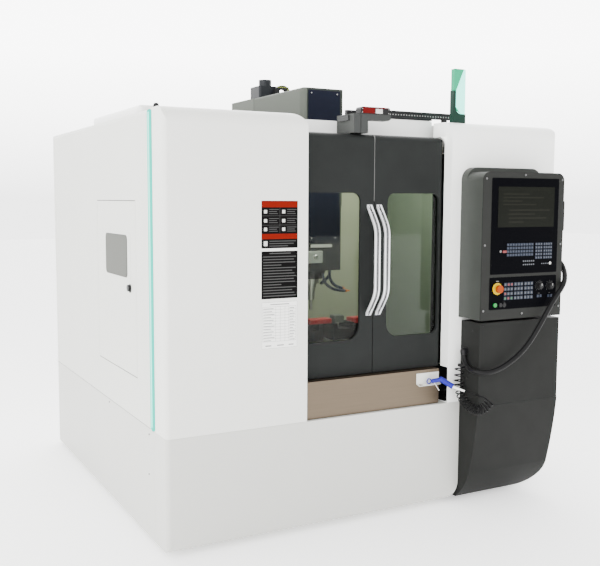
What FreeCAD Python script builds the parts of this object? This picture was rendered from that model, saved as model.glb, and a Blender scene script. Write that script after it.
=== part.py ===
# Vertical machining centre: sheet-metal enclosure round a cast C-frame.
# Millimetres. X runs to the right, Y to the back, Z up from the floor. While it is
# modelled, X = 0 is the left side panel and Y = 0 the plane of the front covers; the
# last step moves the origin to the middle of the footprint.
import FreeCAD, Part
import math
import os

V = FreeCAD.Vector

# ---- driving dimensions ------------------------------------------------------------
WIDTH = 2240.0              # over the side panels
DEPTH = 2150.0              # front covers to rear panel
COVER_TOP = 1995.0          # top of the white covers
SEAM_Z = 549.0              # joint between base skirt and covers
SKIRT_GAP = 30.0            # floor to the lower edge of the skirt
SHEET = 3.0                 # folded steel sheet
SEAM = 0.8                  # open joint between two sheets
TOP_R = 70.0                # rolled upper front edge
SKIRT_R = 90.0              # lower right corner of the front skirt
TOE_R = 35.0                # rolled lower front edge of the skirt

OPENING_X0 = 700.0          # door opening between the two front covers
OPENING_X1 = 1531.0
WING = 160.0                # depth of the front covers round the corner
RETURN_DEPTH = 62.0         # inward return of the right cover beside the doors

DOOR_FRONT = 66.0           # front face of the doors
DOOR_DEPTH = 58.0
DOOR_BOTTOM = 736.0
DOOR_TOP = 1918.0
DOOR_SPLIT = 1108.5
DOOR_GAP = 3.0              # between the two doors and at their outer ends
DOOR_EDGE_R = 18.0          # rolled outer edge
DOOR_CORNER_R = 32.0        # upper outer corner
DOOR_TOP_R = 35.0
DOOR_STILE = 79.0           # split to window
WINDOW_W = 318.0
WINDOW_Z0 = 910.0
WINDOW_Z1 = 1632.0
WINDOW_R = 40.0
WINDOW_LOW_R = 72.0         # lower corner beside the split
PANE = 4.0
PANE_BACK = 15.0            # pane behind the door face
LIP = 3.0                   # rim round the window
HANDLE_Z0 = 1036.0
HANDLE_Z1 = 1566.0
HANDLE_PROUD = 75.0
HANDLE_RUN = 105.0          # height of each sloping end
HANDLE_WIDTH = 30.0
HANDLE_THICK = 9.0
HANDLE_BEND_R = 120.0
HANDLE_OFFSET = 28.0        # split to the middle of a handle
RAIL_Z = 1876.0             # top edge of the door rail
RAIL_H = 30.0
RAIL_T = 6.0
ROLLER_R = 15.0
RUN_GAP = 0.3               # running gap between moving faces

SPINDLE_X = 1106.0
SPINDLE_Y = 700.0
HEAD_W = 254.0
HEAD_FRONT = 570.0
HEAD_BOTTOM = 1211.0
HEAD_TOP = 2194.0
COVER_SPLIT_Y = 1177.0      # back of the moving head cover
COLUMN_FRONT = 1180.0
COLUMN_BACK = 1720.0
COLUMN_TOP = 2027.0
COLUMN_W = 250.0
COLUMN_BASE_W = 620.0
BED_TOP = 600.0
BED_W = 900.0
TABLE_TOP = 830.0
TABLE_L = 800.0
TABLE_W = 400.0
TABLE_H = 70.0
SLOT_W = 14.0
SLOT_PITCH = 110.0
X_HALF_TRAVEL = 325.0
Y_HALF_TRAVEL = 200.0
Z_UP = 310.0
Z_DOWN = 140.0
RAIL_W = 30.0
RAIL_TALL = 28.0

CAB_X0 = 1613.0             # grey electrical cabinet at the lower right
CAB_X1 = 2154.0
CAB_FRONT = -150.0
CAB_BACK = 290.0
CAB_TOP = 980.0
CAB_R = 132.0               # lower right corner
CAB_BELLY = [(-117, 322), (-85, 178), (-43, 98), (18, 30)]   # Y, Z down the curved front
GLAND_RUN = 20.0            # cable's end to the middle of its elbow fitting
PEND_X0 = 1593.0            # control pendant
PEND_X1 = 2136.0
PEND_FRONT = -172.0
PEND_Z0 = 996.0
PEND_Z1 = 1741.0
PEND_R = 42.0
PEND_BACK_TOP = 1766.0
PANEL_PROUD = 2.0

LED_Y = 174.0
LED_W = 24.0
LED_PROUD = 6.0
TOWER_X = 1620.0
TOWER_Y = 76.0
TOWER_TOP = 2268.0
TOWER_W = 80.0
TOWER_D = 28.0
TOWER_FIN = 16.0            # width of the base's upright fin
TOWER_FIN_TOP = 2158.0
TOWER_FOOT = 46.0

CABLE_R = 13.5              # thick control cable
CABLE_POINTS = [            # hand-chosen route, from the pendant to the gland
    (2136, -96, 1292), (2177, -96, 1292), (2199, -122, 1245), (2168, -168, 1200),
    (2128, -196, 1155), (2067, -205, 1100), (2016, -207, 1036), (1962, -206, 956),
    (1900, -202, 871), (1838, -197, 812), (1776, -193, 773), (1708, -189, 742),
    (1640, -187, 730), (1592, -160, 733), (1582, -112, 742), (1588, -66, 770),
    (1590, -54, 806)]
HOSE_R = 3.2                # coiled air hose
COIL_R = 22.0
COIL_TURNS = 18.75
COIL_POINTS = [             # hand-chosen line of the coil's axis
    (1581, -34, 740), (1574, -34, 675), (1575, -46, 607), (1570, -110, 554),
    (1586, -172, 536), (1612, -206, 556), (1632, -214, 588)]

parts = {}
cord_nodes = []


# ---- helpers -----------------------------------------------------------------------
def box(x0, x1, y0, y1, z0, z1):
    return Part.makeBox(x1 - x0, y1 - y0, z1 - z0, V(x0, y0, z0))


def cyl(radius, start, end):
    start, end = V(*start), V(*end)
    return Part.makeCylinder(radius, (end - start).Length, start, end - start)


def fuse(shapes):
    shapes = list(shapes)
    return shapes[0].multiFuse(shapes[1:]).removeSplitter() if len(shapes) > 1 else shapes[0]


def group(shapes):
    return Part.makeCompound(list(shapes))


def plane_point(axis, u, v, w):
    """A point with u and v in the plane across axis, and w along it."""
    return {"x": V(w, u, v), "y": V(u, w, v), "z": V(u, v, w)}[axis]


def rounded_prism(lo, hi, axis, radii):
    """A box whose four edges along axis have their own radii.

    The corners go (low u, low v), (high u, low v), (high u, high v), (low u, high v)."""
    iu, iv, iw = {"x": (1, 2, 0), "y": (0, 2, 1), "z": (0, 1, 2)}[axis]
    corners = [(lo[iu], lo[iv]), (hi[iu], lo[iv]), (hi[iu], hi[iv]), (lo[iu], hi[iv])]
    steps = [(1, 0), (0, 1), (-1, 0), (0, -1)]
    edges = []
    last = None
    first = None
    for k in range(4):
        (cu, cv), r = corners[k], radii[k]
        before, after = steps[k - 1], steps[k]
        start = plane_point(axis, cu - before[0] * r, cv - before[1] * r, lo[iw])
        end = plane_point(axis, cu + after[0] * r, cv + after[1] * r, lo[iw])
        if last is None:
            first = start
        else:
            edges.append(Part.LineSegment(last, start).toShape())
        if r > 0:
            s = r * (1 - math.sqrt(0.5))
            mid = plane_point(axis, cu + (after[0] - before[0]) * s,
                              cv + (after[1] - before[1]) * s, lo[iw])
            edges.append(Part.Arc(start, mid, end).toShape())
        last = end
    edges.append(Part.LineSegment(last, first).toShape())
    face = Part.Face(Part.Wire(edges))
    zero = plane_point(axis, 0, 0, 0)
    return face.extrude(plane_point(axis, 0, 0, hi[iw] - lo[iw]) - zero)


def rounded_block(lo, hi, rx=None, ry=None, rz=None):
    """The space that up to three rounded prisms have in common."""
    shape = None
    for axis, radii in (("x", rx), ("y", ry), ("z", rz)):
        if radii:
            prism = rounded_prism(lo, hi, axis, radii)
            shape = prism if shape is None else shape.common(prism)
    return shape if shape is not None else box(lo[0], hi[0], lo[1], hi[1], lo[2], hi[2])


def shell_block(lo, hi, wall, open_sides, rx=None, ry=None, rz=None):
    """A folded sheet casing: a rounded block less its inside, open on the named sides."""
    names = ["x", "y", "z"]
    low = [c + wall for c in lo]
    high = [c - wall for c in hi]
    for side in open_sides:
        k = names.index(side[0])
        if side[1] == "+":
            high[k] = hi[k] + wall
        else:
            low[k] = lo[k] - wall
    inner_radii = [[max(r - wall, 0) for r in radii] if radii else None
                   for radii in (rx, ry, rz)]
    outer = rounded_block(lo, hi, rx, ry, rz)
    return outer.cut(rounded_block(low, high, *inner_radii))


def bent_strip(points, radius, thick, axis, w0, w1):
    """A flat strip bent along points of the plane across axis, w0 to w1 wide."""
    sides = []
    for sign in (1, -1):
        off = sign * thick / 2
        edges = []
        cursor = None
        for k, (u, v) in enumerate(points):
            if k in (0, len(points) - 1):
                a, b = (points[k], points[k + 1]) if k == 0 else (points[k - 1], points[k])
                length = math.dist(a, b)
                nu, nv = -(b[1] - a[1]) / length, (b[0] - a[0]) / length
                here = (u + nu * off, v + nv * off)
                if cursor:
                    edges.append((cursor, here))
                cursor = here
                continue
            a, b = points[k - 1], points[k + 1]
            la, lb = math.dist(a, (u, v)), math.dist((u, v), b)
            da = ((u - a[0]) / la, (v - a[1]) / la)
            db = ((b[0] - u) / lb, (b[1] - v) / lb)
            cross = da[0] * db[1] - da[1] * db[0]
            turn = math.atan2(cross, da[0] * db[0] + da[1] * db[1])
            side = 1 if turn > 0 else -1
            leg = radius * math.tan(abs(turn) / 2)
            centre = (u - da[0] * leg - da[1] * radius * side,
                      v - da[1] * leg + da[0] * radius * side)
            r = radius - side * off
            start_angle = math.atan2(v - da[1] * leg - centre[1], u - da[0] * leg - centre[0])
            arc = [(centre[0] + r * math.cos(start_angle + turn * t),
                    centre[1] + r * math.sin(start_angle + turn * t)) for t in (0, 0.5, 1)]
            edges.append((cursor, arc[0]))
            edges.append(tuple(arc))
            cursor = arc[2]
        sides.append(edges)
    left, right = sides
    back = [tuple(reversed(edge)) for edge in reversed(right)]
    outline = left + [(left[-1][-1], back[0][0])] + back + [(back[-1][-1], left[0][0])]
    return outline_prism(outline, axis, w0, w1)


def outline_prism(outline, axis, w0, w1):
    """A prism over a closed run of lines (two points) and arcs (three points)."""
    shapes = []
    for edge in outline:
        p = [plane_point(axis, u, v, w0) for u, v in edge]
        curve = Part.Arc(*p) if len(p) == 3 else Part.LineSegment(*p)
        shapes.append(curve.toShape())
    face = Part.Face(Part.Wire(shapes))
    return face.extrude(plane_point(axis, 0, 0, w1) - plane_point(axis, 0, 0, w0))


def polygon_prism(points, axis, w0, w1):
    p = [plane_point(axis, u, v, w0) for u, v in points]
    face = Part.Face(Part.makePolygon(p + p[:1]))
    return face.extrude(plane_point(axis, 0, 0, w1) - plane_point(axis, 0, 0, w0))


def revolve(profile, x, y):
    """Radius and height pairs turned about the upright line through x, y."""
    p = [V(x + r, y, z) for r, z in profile]
    face = Part.Face(Part.makePolygon(p + p[:1]))
    return face.revolve(V(x, y, 0), V(0, 0, 1), 360)


def round_tube(points, radius):
    """A tube of straight runs and tangent arcs, each as large as its runs allow."""
    p = [V(*q) for q in points]
    edges = []
    radii = []
    cursor = p[0]
    for k in range(1, len(p) - 1):
        a, b = (p[k] - p[k - 1]), (p[k + 1] - p[k])
        shorter = min(a.Length, b.Length)
        turn = a.getAngle(b)
        leg = 0.45 * shorter
        radii.append(leg / math.tan(turn / 2))
        start = p[k] - a.normalize() * leg
        end = p[k] + b.normalize() * leg
        chord_mid = (start + end) * 0.5
        rise = (p[k] - chord_mid).Length
        half = (end - start).Length / 2
        mid = chord_mid + (p[k] - chord_mid) * (half * math.tan(turn / 4) / rise)
        edges.append(Part.LineSegment(cursor, start).toShape())
        edges.append(Part.Arc(start, mid, end).toShape())
        cursor = end
    edges.append(Part.LineSegment(cursor, p[-1]).toShape())
    wire = Part.Wire(edges)
    ring = Part.Wire(Part.makeCircle(radius, p[0], p[1] - p[0]))
    tube = wire.makePipeShell([ring], True, False)
    print("cable: length %.0f, radii %s" % (wire.Length, [round(r) for r in radii]))
    print("cable: volume %.0f, section times length %.0f"
          % (tube.Volume, math.pi * radius ** 2 * wire.Length))
    return tube


def put(name, shape, cord=False):
    """Solids given the same name share one node."""
    parts.setdefault(name, []).extend(shape.Solids)
    if cord:
        cord_nodes.append(name)


# ---- base and frame ----------------------------------------------------------------
FOOT_X = (SPINDLE_X - 430, SPINDLE_X + 430)
FOOT_Y = (300.0, 1060.0, 1820.0)
FOOT_H = 75.0
BED_X0 = SPINDLE_X - BED_W / 2
BED_X1 = SPINDLE_X + BED_W / 2
BED_FRONT = 220.0
BED_BACK = 1900.0
WAY_X = 260.0               # half the distance between the Y rails
WAY_TALL = 28.0
SADDLE_Z0 = 656.0
SADDLE_Z1 = 700.0
SADDLE_L = 940.0
TABLE_Y = 690.0
XRAIL_Y = 130.0             # half the distance between the X rails
ZRAIL_X = 95.0
SCREW_R = 14.0
SCREW_Z = 628.0
XSCREW_Z = 730.0
SCREW_Y = 1290.0            # upright ball screw, inside the column's channel


def base():
    bed = box(BED_X0, BED_X1, BED_FRONT, BED_BACK, FOOT_H, BED_TOP)
    wall = 40.0
    for y0, y1 in ((BED_FRONT, 760), (760 - wall, 1240), (1240 - wall, BED_BACK)):
        bed = bed.cut(box(BED_X0 + wall, BED_X1 - wall, y0 + wall, y1 - wall,
                          FOOT_H - 1, BED_TOP - 60))
    for y0, y1 in ((300, 720), (780, 1200), (1260, 1840)):
        for x0, x1 in ((BED_X0 - 1, BED_X0 + 15), (BED_X1 - 15, BED_X1 + 1)):
            bed = bed.cut(rounded_prism((x0, y0, 160), (x1, y1, 500), "x", [30] * 4))
    put("bed_casting", bed)
    feet = []
    for x in FOOT_X:
        for y in FOOT_Y:
            foot = fuse([cyl(60, (x, y, 0), (x, y, 22)), cyl(34, (x, y, 22), (x, y, 40)),
                         cyl(15, (x, y, 40), (x, y, FOOT_H))])
            feet.append(foot)
    put("levelling_feet", group(feet))
    seat = 0.5
    arms = []
    for y in (600, 1700):
        for x0, x1 in ((SHEET + seat, BED_X0 - seat), (BED_X1 + seat, WIDTH - SHEET - seat)):
            arm = box(x0, x1, y, y + 60, 505, 545)
            arms.append(arm.cut(box(x0 - 1, x1 + 1, y + 4, y + 56, 509, 541)))
    put("brackets", group(arms))


def column():
    half, base_half = COLUMN_W / 2, COLUMN_BASE_W / 2
    front_view = [(SPINDLE_X - base_half, BED_TOP), (SPINDLE_X + base_half, BED_TOP),
                  (SPINDLE_X + base_half, 760), (SPINDLE_X + half, 1240),
                  (SPINDLE_X + half, COLUMN_TOP), (SPINDLE_X - half, COLUMN_TOP),
                  (SPINDLE_X - half, 1240), (SPINDLE_X - base_half, 760)]
    side_view = [(COLUMN_FRONT, BED_TOP), (COLUMN_BACK, BED_TOP), (COLUMN_BACK, 900),
                 (1500, 1300), (1500, COLUMN_TOP), (COLUMN_FRONT, COLUMN_TOP)]
    body = polygon_prism(front_view, "y", COLUMN_FRONT, COLUMN_BACK)
    body = body.common(polygon_prism(side_view, "x", SPINDLE_X - base_half - 1,
                                     SPINDLE_X + base_half + 1))
    body = body.cut(box(SPINDLE_X - 62, SPINDLE_X + 62, COLUMN_FRONT - 1, 1400, 660,
                        COLUMN_TOP - 40))
    for side in (-1, 1):
        x0, x1 = sorted((SPINDLE_X + side * 130, SPINDLE_X + side * 250))
        body = body.cut(rounded_prism((x0, 1260, 640), (x1, 1640, 740), "x", [25] * 4))
    body = body.cut(cyl(SCREW_R + 2, (SPINDLE_X, SCREW_Y, COLUMN_TOP - 60),
                        (SPINDLE_X, SCREW_Y, COLUMN_TOP + 5)))
    put("column_casting", body)
    rails = [box(SPINDLE_X + s * ZRAIL_X - RAIL_W / 2, SPINDLE_X + s * ZRAIL_X + RAIL_W / 2,
                 COLUMN_FRONT - RAIL_TALL, COLUMN_FRONT, 1120, 2015) for s in (-1, 1)]
    put("rails_and_screws", group(rails))
    put("rails_and_screws", fuse([
        cyl(SCREW_R, (SPINDLE_X, SCREW_Y, 700), (SPINDLE_X, SCREW_Y, COLUMN_TOP)),
        box(SPINDLE_X - 61.6, SPINDLE_X + 61.6, SCREW_Y - 50, SCREW_Y + 50, 660, 705)]))
    motor = rounded_prism((SPINDLE_X - 70, SCREW_Y - 70, COLUMN_TOP),
                          (SPINDLE_X + 70, SCREW_Y + 70, COLUMN_TOP + 250), "z", [14] * 4)
    cap = cyl(38, (SPINDLE_X, SCREW_Y, COLUMN_TOP + 250), (SPINDLE_X, SCREW_Y, 2320))
    put("axis_motors", fuse([motor, cap]))
    wall = 2.0
    fit = 0.3
    lo = (SPINDLE_X - half - fit - wall, COLUMN_FRONT + 2, 1880)
    hi = (SPINDLE_X + half + fit + wall, 1500 + fit + wall, HEAD_TOP)
    put("roof_panels", shell_block(lo, hi, wall, ["y-", "z-", "z+"]))
    chain = [(SPINDLE_X + 28, COLUMN_TOP + 0.3), (SPINDLE_X + 28, 2270),
             (SPINDLE_X + 108, 2270), (SPINDLE_X + 108, COLUMN_TOP + 0.3)]
    put("roof_fittings", bent_strip(chain, 36, 24, "y", COLUMN_FRONT + 6, COLUMN_FRONT + 34))


def ways():
    rails = [box(SPINDLE_X + s * WAY_X - RAIL_W / 2, SPINDLE_X + s * WAY_X + RAIL_W / 2,
                 290, 1120, BED_TOP, BED_TOP + WAY_TALL) for s in (-1, 1)]
    put("rails_and_screws", group(rails))
    put("rails_and_screws", fuse([
        cyl(SCREW_R, (SPINDLE_X, BED_FRONT, SCREW_Z), (SPINDLE_X, 1140, SCREW_Z)),
        box(SPINDLE_X - 45, SPINDLE_X + 45, 1120, 1160, BED_TOP, SCREW_Z + 40)]))
    put("axis_motors", rounded_prism((SPINDLE_X - 58, 75, SCREW_Z - 58),
                                 (SPINDLE_X + 58, BED_FRONT, SCREW_Z + 58), "y", [12] * 4))
    x0, x1 = SPINDLE_X - SADDLE_L / 2, SPINDLE_X + SADDLE_L / 2
    saddle = box(x0, x1, TABLE_Y - 170, TABLE_Y + 170, SADDLE_Z0, SADDLE_Z1)
    for s in (-1, 1):
        saddle = saddle.fuse(polygon_prism(
            [(TABLE_Y - 170, SADDLE_Z0), (TABLE_Y + 170, SADDLE_Z0),
             (TABLE_Y + 140, SADDLE_Z0 - 22), (TABLE_Y - 140, SADDLE_Z0 - 22)],
            "x", *sorted((SPINDLE_X + s * (WAY_X + 32), SPINDLE_X + s * (WAY_X + 62)))))
    nut = box(SPINDLE_X - 34, SPINDLE_X + 34, TABLE_Y - 40, TABLE_Y + 40, 604, SADDLE_Z0)
    nut = nut.cut(cyl(SCREW_R + 0.1, (SPINDLE_X, 600, SCREW_Z), (SPINDLE_X, 800, SCREW_Z)))
    saddle = fuse([saddle, nut])
    put("saddle_casting", saddle)
    blocks = []
    for sx in (-1, 1):
        for sy in (-1, 1):
            cx, cy = SPINDLE_X + sx * WAY_X, TABLE_Y + sy * 110
            block = box(cx - 30, cx + 30, cy - 45, cy + 45, BED_TOP + 8, SADDLE_Z0)
            groove = RAIL_W / 2 + RUN_GAP
            blocks.append(block.cut(box(cx - groove, cx + groove, cy - 46, cy + 46,
                                        BED_TOP, BED_TOP + WAY_TALL + RUN_GAP)))
    put("saddle_guides", group(blocks))
    put("saddle_guides", group([box(x0 + 5, x1 - 5, TABLE_Y + s * XRAIL_Y - RAIL_W / 2,
                              TABLE_Y + s * XRAIL_Y + RAIL_W / 2, SADDLE_Z1,
                              SADDLE_Z1 + RAIL_TALL) for s in (-1, 1)]))
    screw = fuse([cyl(SCREW_R, (x0, TABLE_Y, XSCREW_Z), (x1 + 4, TABLE_Y, XSCREW_Z)),
                  box(x0, x0 + 30, TABLE_Y - 40, TABLE_Y + 40, SADDLE_Z1, 754),
                  box(x1 - 30, x1, TABLE_Y - 40, TABLE_Y + 40, SADDLE_Z1, 754)])
    put("saddle_guides", screw)
    put("saddle_guides", rounded_prism((x1, TABLE_Y - 60, 640), (x1 + 160, TABLE_Y + 60, 756),
                                 "x", [12] * 4).cut(
        cyl(SCREW_R + 0.3, (x1 - 1, TABLE_Y, XSCREW_Z), (x1 + 5, TABLE_Y, XSCREW_Z))))


def table():
    x0, x1 = SPINDLE_X - TABLE_L / 2, SPINDLE_X + TABLE_L / 2
    z0 = TABLE_TOP - TABLE_H
    top = box(x0, x1, TABLE_Y - TABLE_W / 2, TABLE_Y + TABLE_W / 2, z0, TABLE_TOP)
    for k in (-1, 0, 1):
        y = TABLE_Y + k * SLOT_PITCH
        top = top.cut(box(x0 - 1, x1 + 1, y - SLOT_W / 2, y + SLOT_W / 2,
                          TABLE_TOP - 26, TABLE_TOP + 1))
        top = top.cut(box(x0 - 1, x1 + 1, y - 12, y + 12, TABLE_TOP - 26, TABLE_TOP - 14))
    nut = box(SPINDLE_X - 50, SPINDLE_X + 50, TABLE_Y - 30, TABLE_Y + 30, 704, z0)
    nut = nut.cut(cyl(SCREW_R + 0.1, (SPINDLE_X - 60, TABLE_Y, XSCREW_Z),
                      (SPINDLE_X + 60, TABLE_Y, XSCREW_Z)))
    put("table", fuse([top, nut]))
    blocks = []
    for sx in (-1, 1):
        for sy in (-1, 1):
            cx, cy = SPINDLE_X + sx * 100, TABLE_Y + sy * XRAIL_Y
            groove = RAIL_W / 2 + RUN_GAP
            block = box(cx - 40, cx + 40, cy - 28, cy + 28, SADDLE_Z1 + 5, z0)
            blocks.append(block.cut(box(cx - 41, cx + 41, cy - groove, cy + groove, SADDLE_Z1,
                                        SADDLE_Z1 + RAIL_TALL + RUN_GAP)))
    put("table", group(blocks))
    blocks = []
    for x0, x1 in ((990, 1090), (1150, 1285)):
        block = box(x0, x1, 525, 645, TABLE_TOP, TABLE_TOP + 92)
        block = block.cut(box(x0 + 30, x1 - 30, 520, 650, TABLE_TOP + 60, TABLE_TOP + 100))
        blocks.append(block)
    put("fixture_blocks", group(blocks))


# ---- head --------------------------------------------------------------------------
def head():
    half = HEAD_W / 2
    back = COVER_SPLIT_Y
    face = HEAD_FRONT + 6
    x0, x1 = SPINDLE_X - half, SPINDLE_X + half
    low = rounded_block((x0 + 4, face, HEAD_BOTTOM), (x1 - 4, 1115, 1560), None,
                        (10, 10, 0, 0), (32, 14, 0, 0))
    low = low.cut(polygon_prism([(860, HEAD_BOTTOM - 1), (1116, HEAD_BOTTOM - 1),
                                 (1116, 1330)], "x", x0 - 1, x1 + 1))
    nose = fuse([cyl(66, (SPINDLE_X, SPINDLE_Y, 1160), (SPINDLE_X, SPINDLE_Y, HEAD_BOTTOM + 5)),
                 cyl(80, (SPINDLE_X, SPINDLE_Y, 1190), (SPINDLE_X, SPINDLE_Y, HEAD_BOTTOM + 5))])
    upper = box(x0 + 20, x1 - 20, 850, 1115, 1560, 1690)
    arm = box(SPINDLE_X - 45, SPINDLE_X + 45, 1110, 1340, 1440, 1520)
    body = fuse([low, nose, upper, arm])
    body = body.cut(cyl(40.1, (SPINDLE_X, SPINDLE_Y, 1100), (SPINDLE_X, SPINDLE_Y, 1530)))
    body = body.cut(cyl(SCREW_R + 0.1, (SPINDLE_X, SCREW_Y, 1400), (SPINDLE_X, SCREW_Y, 1600)))
    put("head_casting", body)
    cover = shell_block((x0, face, 1560 + SEAM), (x1, back, HEAD_TOP), 2.0, ["y+", "z-"],
                        None, (0, 0, 12, 12), (36, 12, 0, 0))
    put("head_cover", cover)
    plate = rounded_prism((1014, HEAD_FRONT, 1368), (1208, face, 2182), "y", [3] * 4)
    put("head_plate", plate)
    put("spindle_motor", fuse([
        rounded_prism((SPINDLE_X - 80, SPINDLE_Y - 80, 1580), (SPINDLE_X + 80, SPINDLE_Y + 80,
                      1960), "z", [20] * 4),
        cyl(70, (SPINDLE_X, SPINDLE_Y, 1560), (SPINDLE_X, SPINDLE_Y, 2040))]))
    blocks = []
    for s in (-1, 1):
        cx = SPINDLE_X + s * ZRAIL_X
        for z in (1345, 1600):
            block = box(cx - 28, cx + 28, 1115, COLUMN_FRONT - 8, z, z + 80)
            g = RAIL_W / 2 + RUN_GAP
            blocks.append(block.cut(box(cx - g, cx + g, COLUMN_FRONT - RAIL_TALL - RUN_GAP,
                                        COLUMN_FRONT, z - 1, z + 81)))
    put("head_casting", group(blocks))
    put("spindle", fuse([cyl(40, (SPINDLE_X, SPINDLE_Y, 1132), (SPINDLE_X, SPINDLE_Y, 1528)),
                         cyl(44, (SPINDLE_X, SPINDLE_Y, 1132), (SPINDLE_X, SPINDLE_Y, 1158))]))
    holder = [(0, 1132), (31.75, 1132), (31.75, 1126), (26.5, 1126), (26.5, 1114),
              (31.75, 1114), (31.75, 1108), (24, 1108), (20, 1040), (8, 1036), (8, 985),
              (5, 978), (0, 978)]
    put("tool_holder", revolve(holder, SPINDLE_X, SPINDLE_Y))
    hoses = []
    for dx, y in ((62, 598), (88, 642)):
        x = SPINDLE_X + dx
        hoses.append(round_tube([(x, y, HEAD_BOTTOM), (x, y, 1180), (x - 22, y + 14, 1152),
                                 (x - 40, y + 30, 1132)], 8.0))
    put("coolant_nozzles", group(hoses))


# ---- tool magazine -----------------------------------------------------------------
MAG_X = 626.0
MAG_REACH = 230.0
MAG_POCKETS = 10
MAG_TRAVEL = SPINDLE_X - MAG_X - MAG_REACH


def magazine():
    plan = [(420, 640), (760, 640), (760, 1190), (SPINDLE_X - COLUMN_W / 2, 1190),
            (SPINDLE_X - COLUMN_W / 2, 1260), (420, 1260)]
    arm = polygon_prism(plan, "z", 1262, 1280)
    bar = box(430, 966, 660, 740, 1246, 1262)
    foot = box(SPINDLE_X - COLUMN_W / 2 - 12, SPINDLE_X - COLUMN_W / 2, 1190, 1260, 1250, 1340)
    put("magazine_bracket", fuse([arm, bar, foot]))
    g = RUN_GAP
    block = box(MAG_X - 80, MAG_X + 80, 640, 760, 1205, 1260)
    block = block.cut(box(MAG_X - 81, MAG_X + 81, 660 - g, 740 + g, 1246 - g, 1263))
    axle = cyl(20, (MAG_X, SPINDLE_Y, 1145), (MAG_X, SPINDLE_Y, 1206))
    put("magazine_carriage", fuse([block, axle]))
    disc = fuse([cyl(175, (MAG_X, SPINDLE_Y, 1116), (MAG_X, SPINDLE_Y, 1124)),
                 cyl(60, (MAG_X, SPINDLE_Y, 1116), (MAG_X, SPINDLE_Y, 1190))])
    arms = []
    tools = []
    for k in range(MAG_POCKETS):
        turn = 360.0 * k / MAG_POCKETS
        fork = box(MAG_X + 165, MAG_X + MAG_REACH + 22, SPINDLE_Y - 40, SPINDLE_Y + 40, 1116, 1124)
        fork = fork.cut(cyl(28, (MAG_X + MAG_REACH, SPINDLE_Y, 1110),
                            (MAG_X + MAG_REACH, SPINDLE_Y, 1130)))
        fork = fork.cut(box(MAG_X + MAG_REACH, MAG_X + MAG_REACH + 60, SPINDLE_Y - 28,
                            SPINDLE_Y + 28, 1110, 1130))
        fork.rotate(V(MAG_X, SPINDLE_Y, 0), V(0, 0, 1), turn)
        arms.append(fork)
        if k:
            holder = revolve([(0, 1196), (15, 1196), (22, 1130), (31.75, 1130), (31.75, 1124.3),
                              (27.5, 1124.3), (27.5, 1115.7), (31.75, 1115.7), (31.75, 1108),
                              (24, 1108), (20, 1050), (0, 1050)],
                             MAG_X + MAG_REACH, SPINDLE_Y)
            holder.rotate(V(MAG_X, SPINDLE_Y, 0), V(0, 0, 1), turn)
            tools.append(holder)
    drum = fuse([disc] + arms)
    bore = cyl(20.1, (MAG_X, SPINDLE_Y, 1144.7), (MAG_X, SPINDLE_Y, 1195))
    put("magazine_drum", drum.cut(bore))
    put("magazine_drum", group(tools))


# ---- enclosure ---------------------------------------------------------------------
ROOF_Z = COVER_TOP - SHEET - SEAM
SIDE_Y0 = LED_Y + LED_W / 2 + SEAM / 2      # side panels start behind the light strip
RETURN_W = 160.0                             # inward return of the side panels
REAR_R = 80.0
ACCESS = (395.0, 1060.5, 752.0, 1590.0)      # side access opening: Y, Y, Z, Z
ACCESS_PANE = (487.0, 908.0, 1290.0, 1430.0)
REAR_DOOR = (700.0, 1400.0, 420.0, 1700.0)   # rear opening: X, X, Z, Z
HINGE_INSET = 5.0
KNOB_Y = 492.0
KNOB_Z = 1173.0
APRON_Y = 20.0
APRON_X1 = 1490.0
APRON_SHEET = 2.0
APRON_TOP = DOOR_BOTTOM - 4.0
TRAY_X0, TRAY_X1 = 1068.0, 1566.0            # upright sheet that carries the cable duct
TRAY_TOP = 2024.0
POST_X0, POST_X1 = 982.0, 1063.0             # interlock bracket over the doors
POST_FRONT = 60.0
POST_TOP = 2013.0
ARM_X1 = 1195.0


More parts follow.
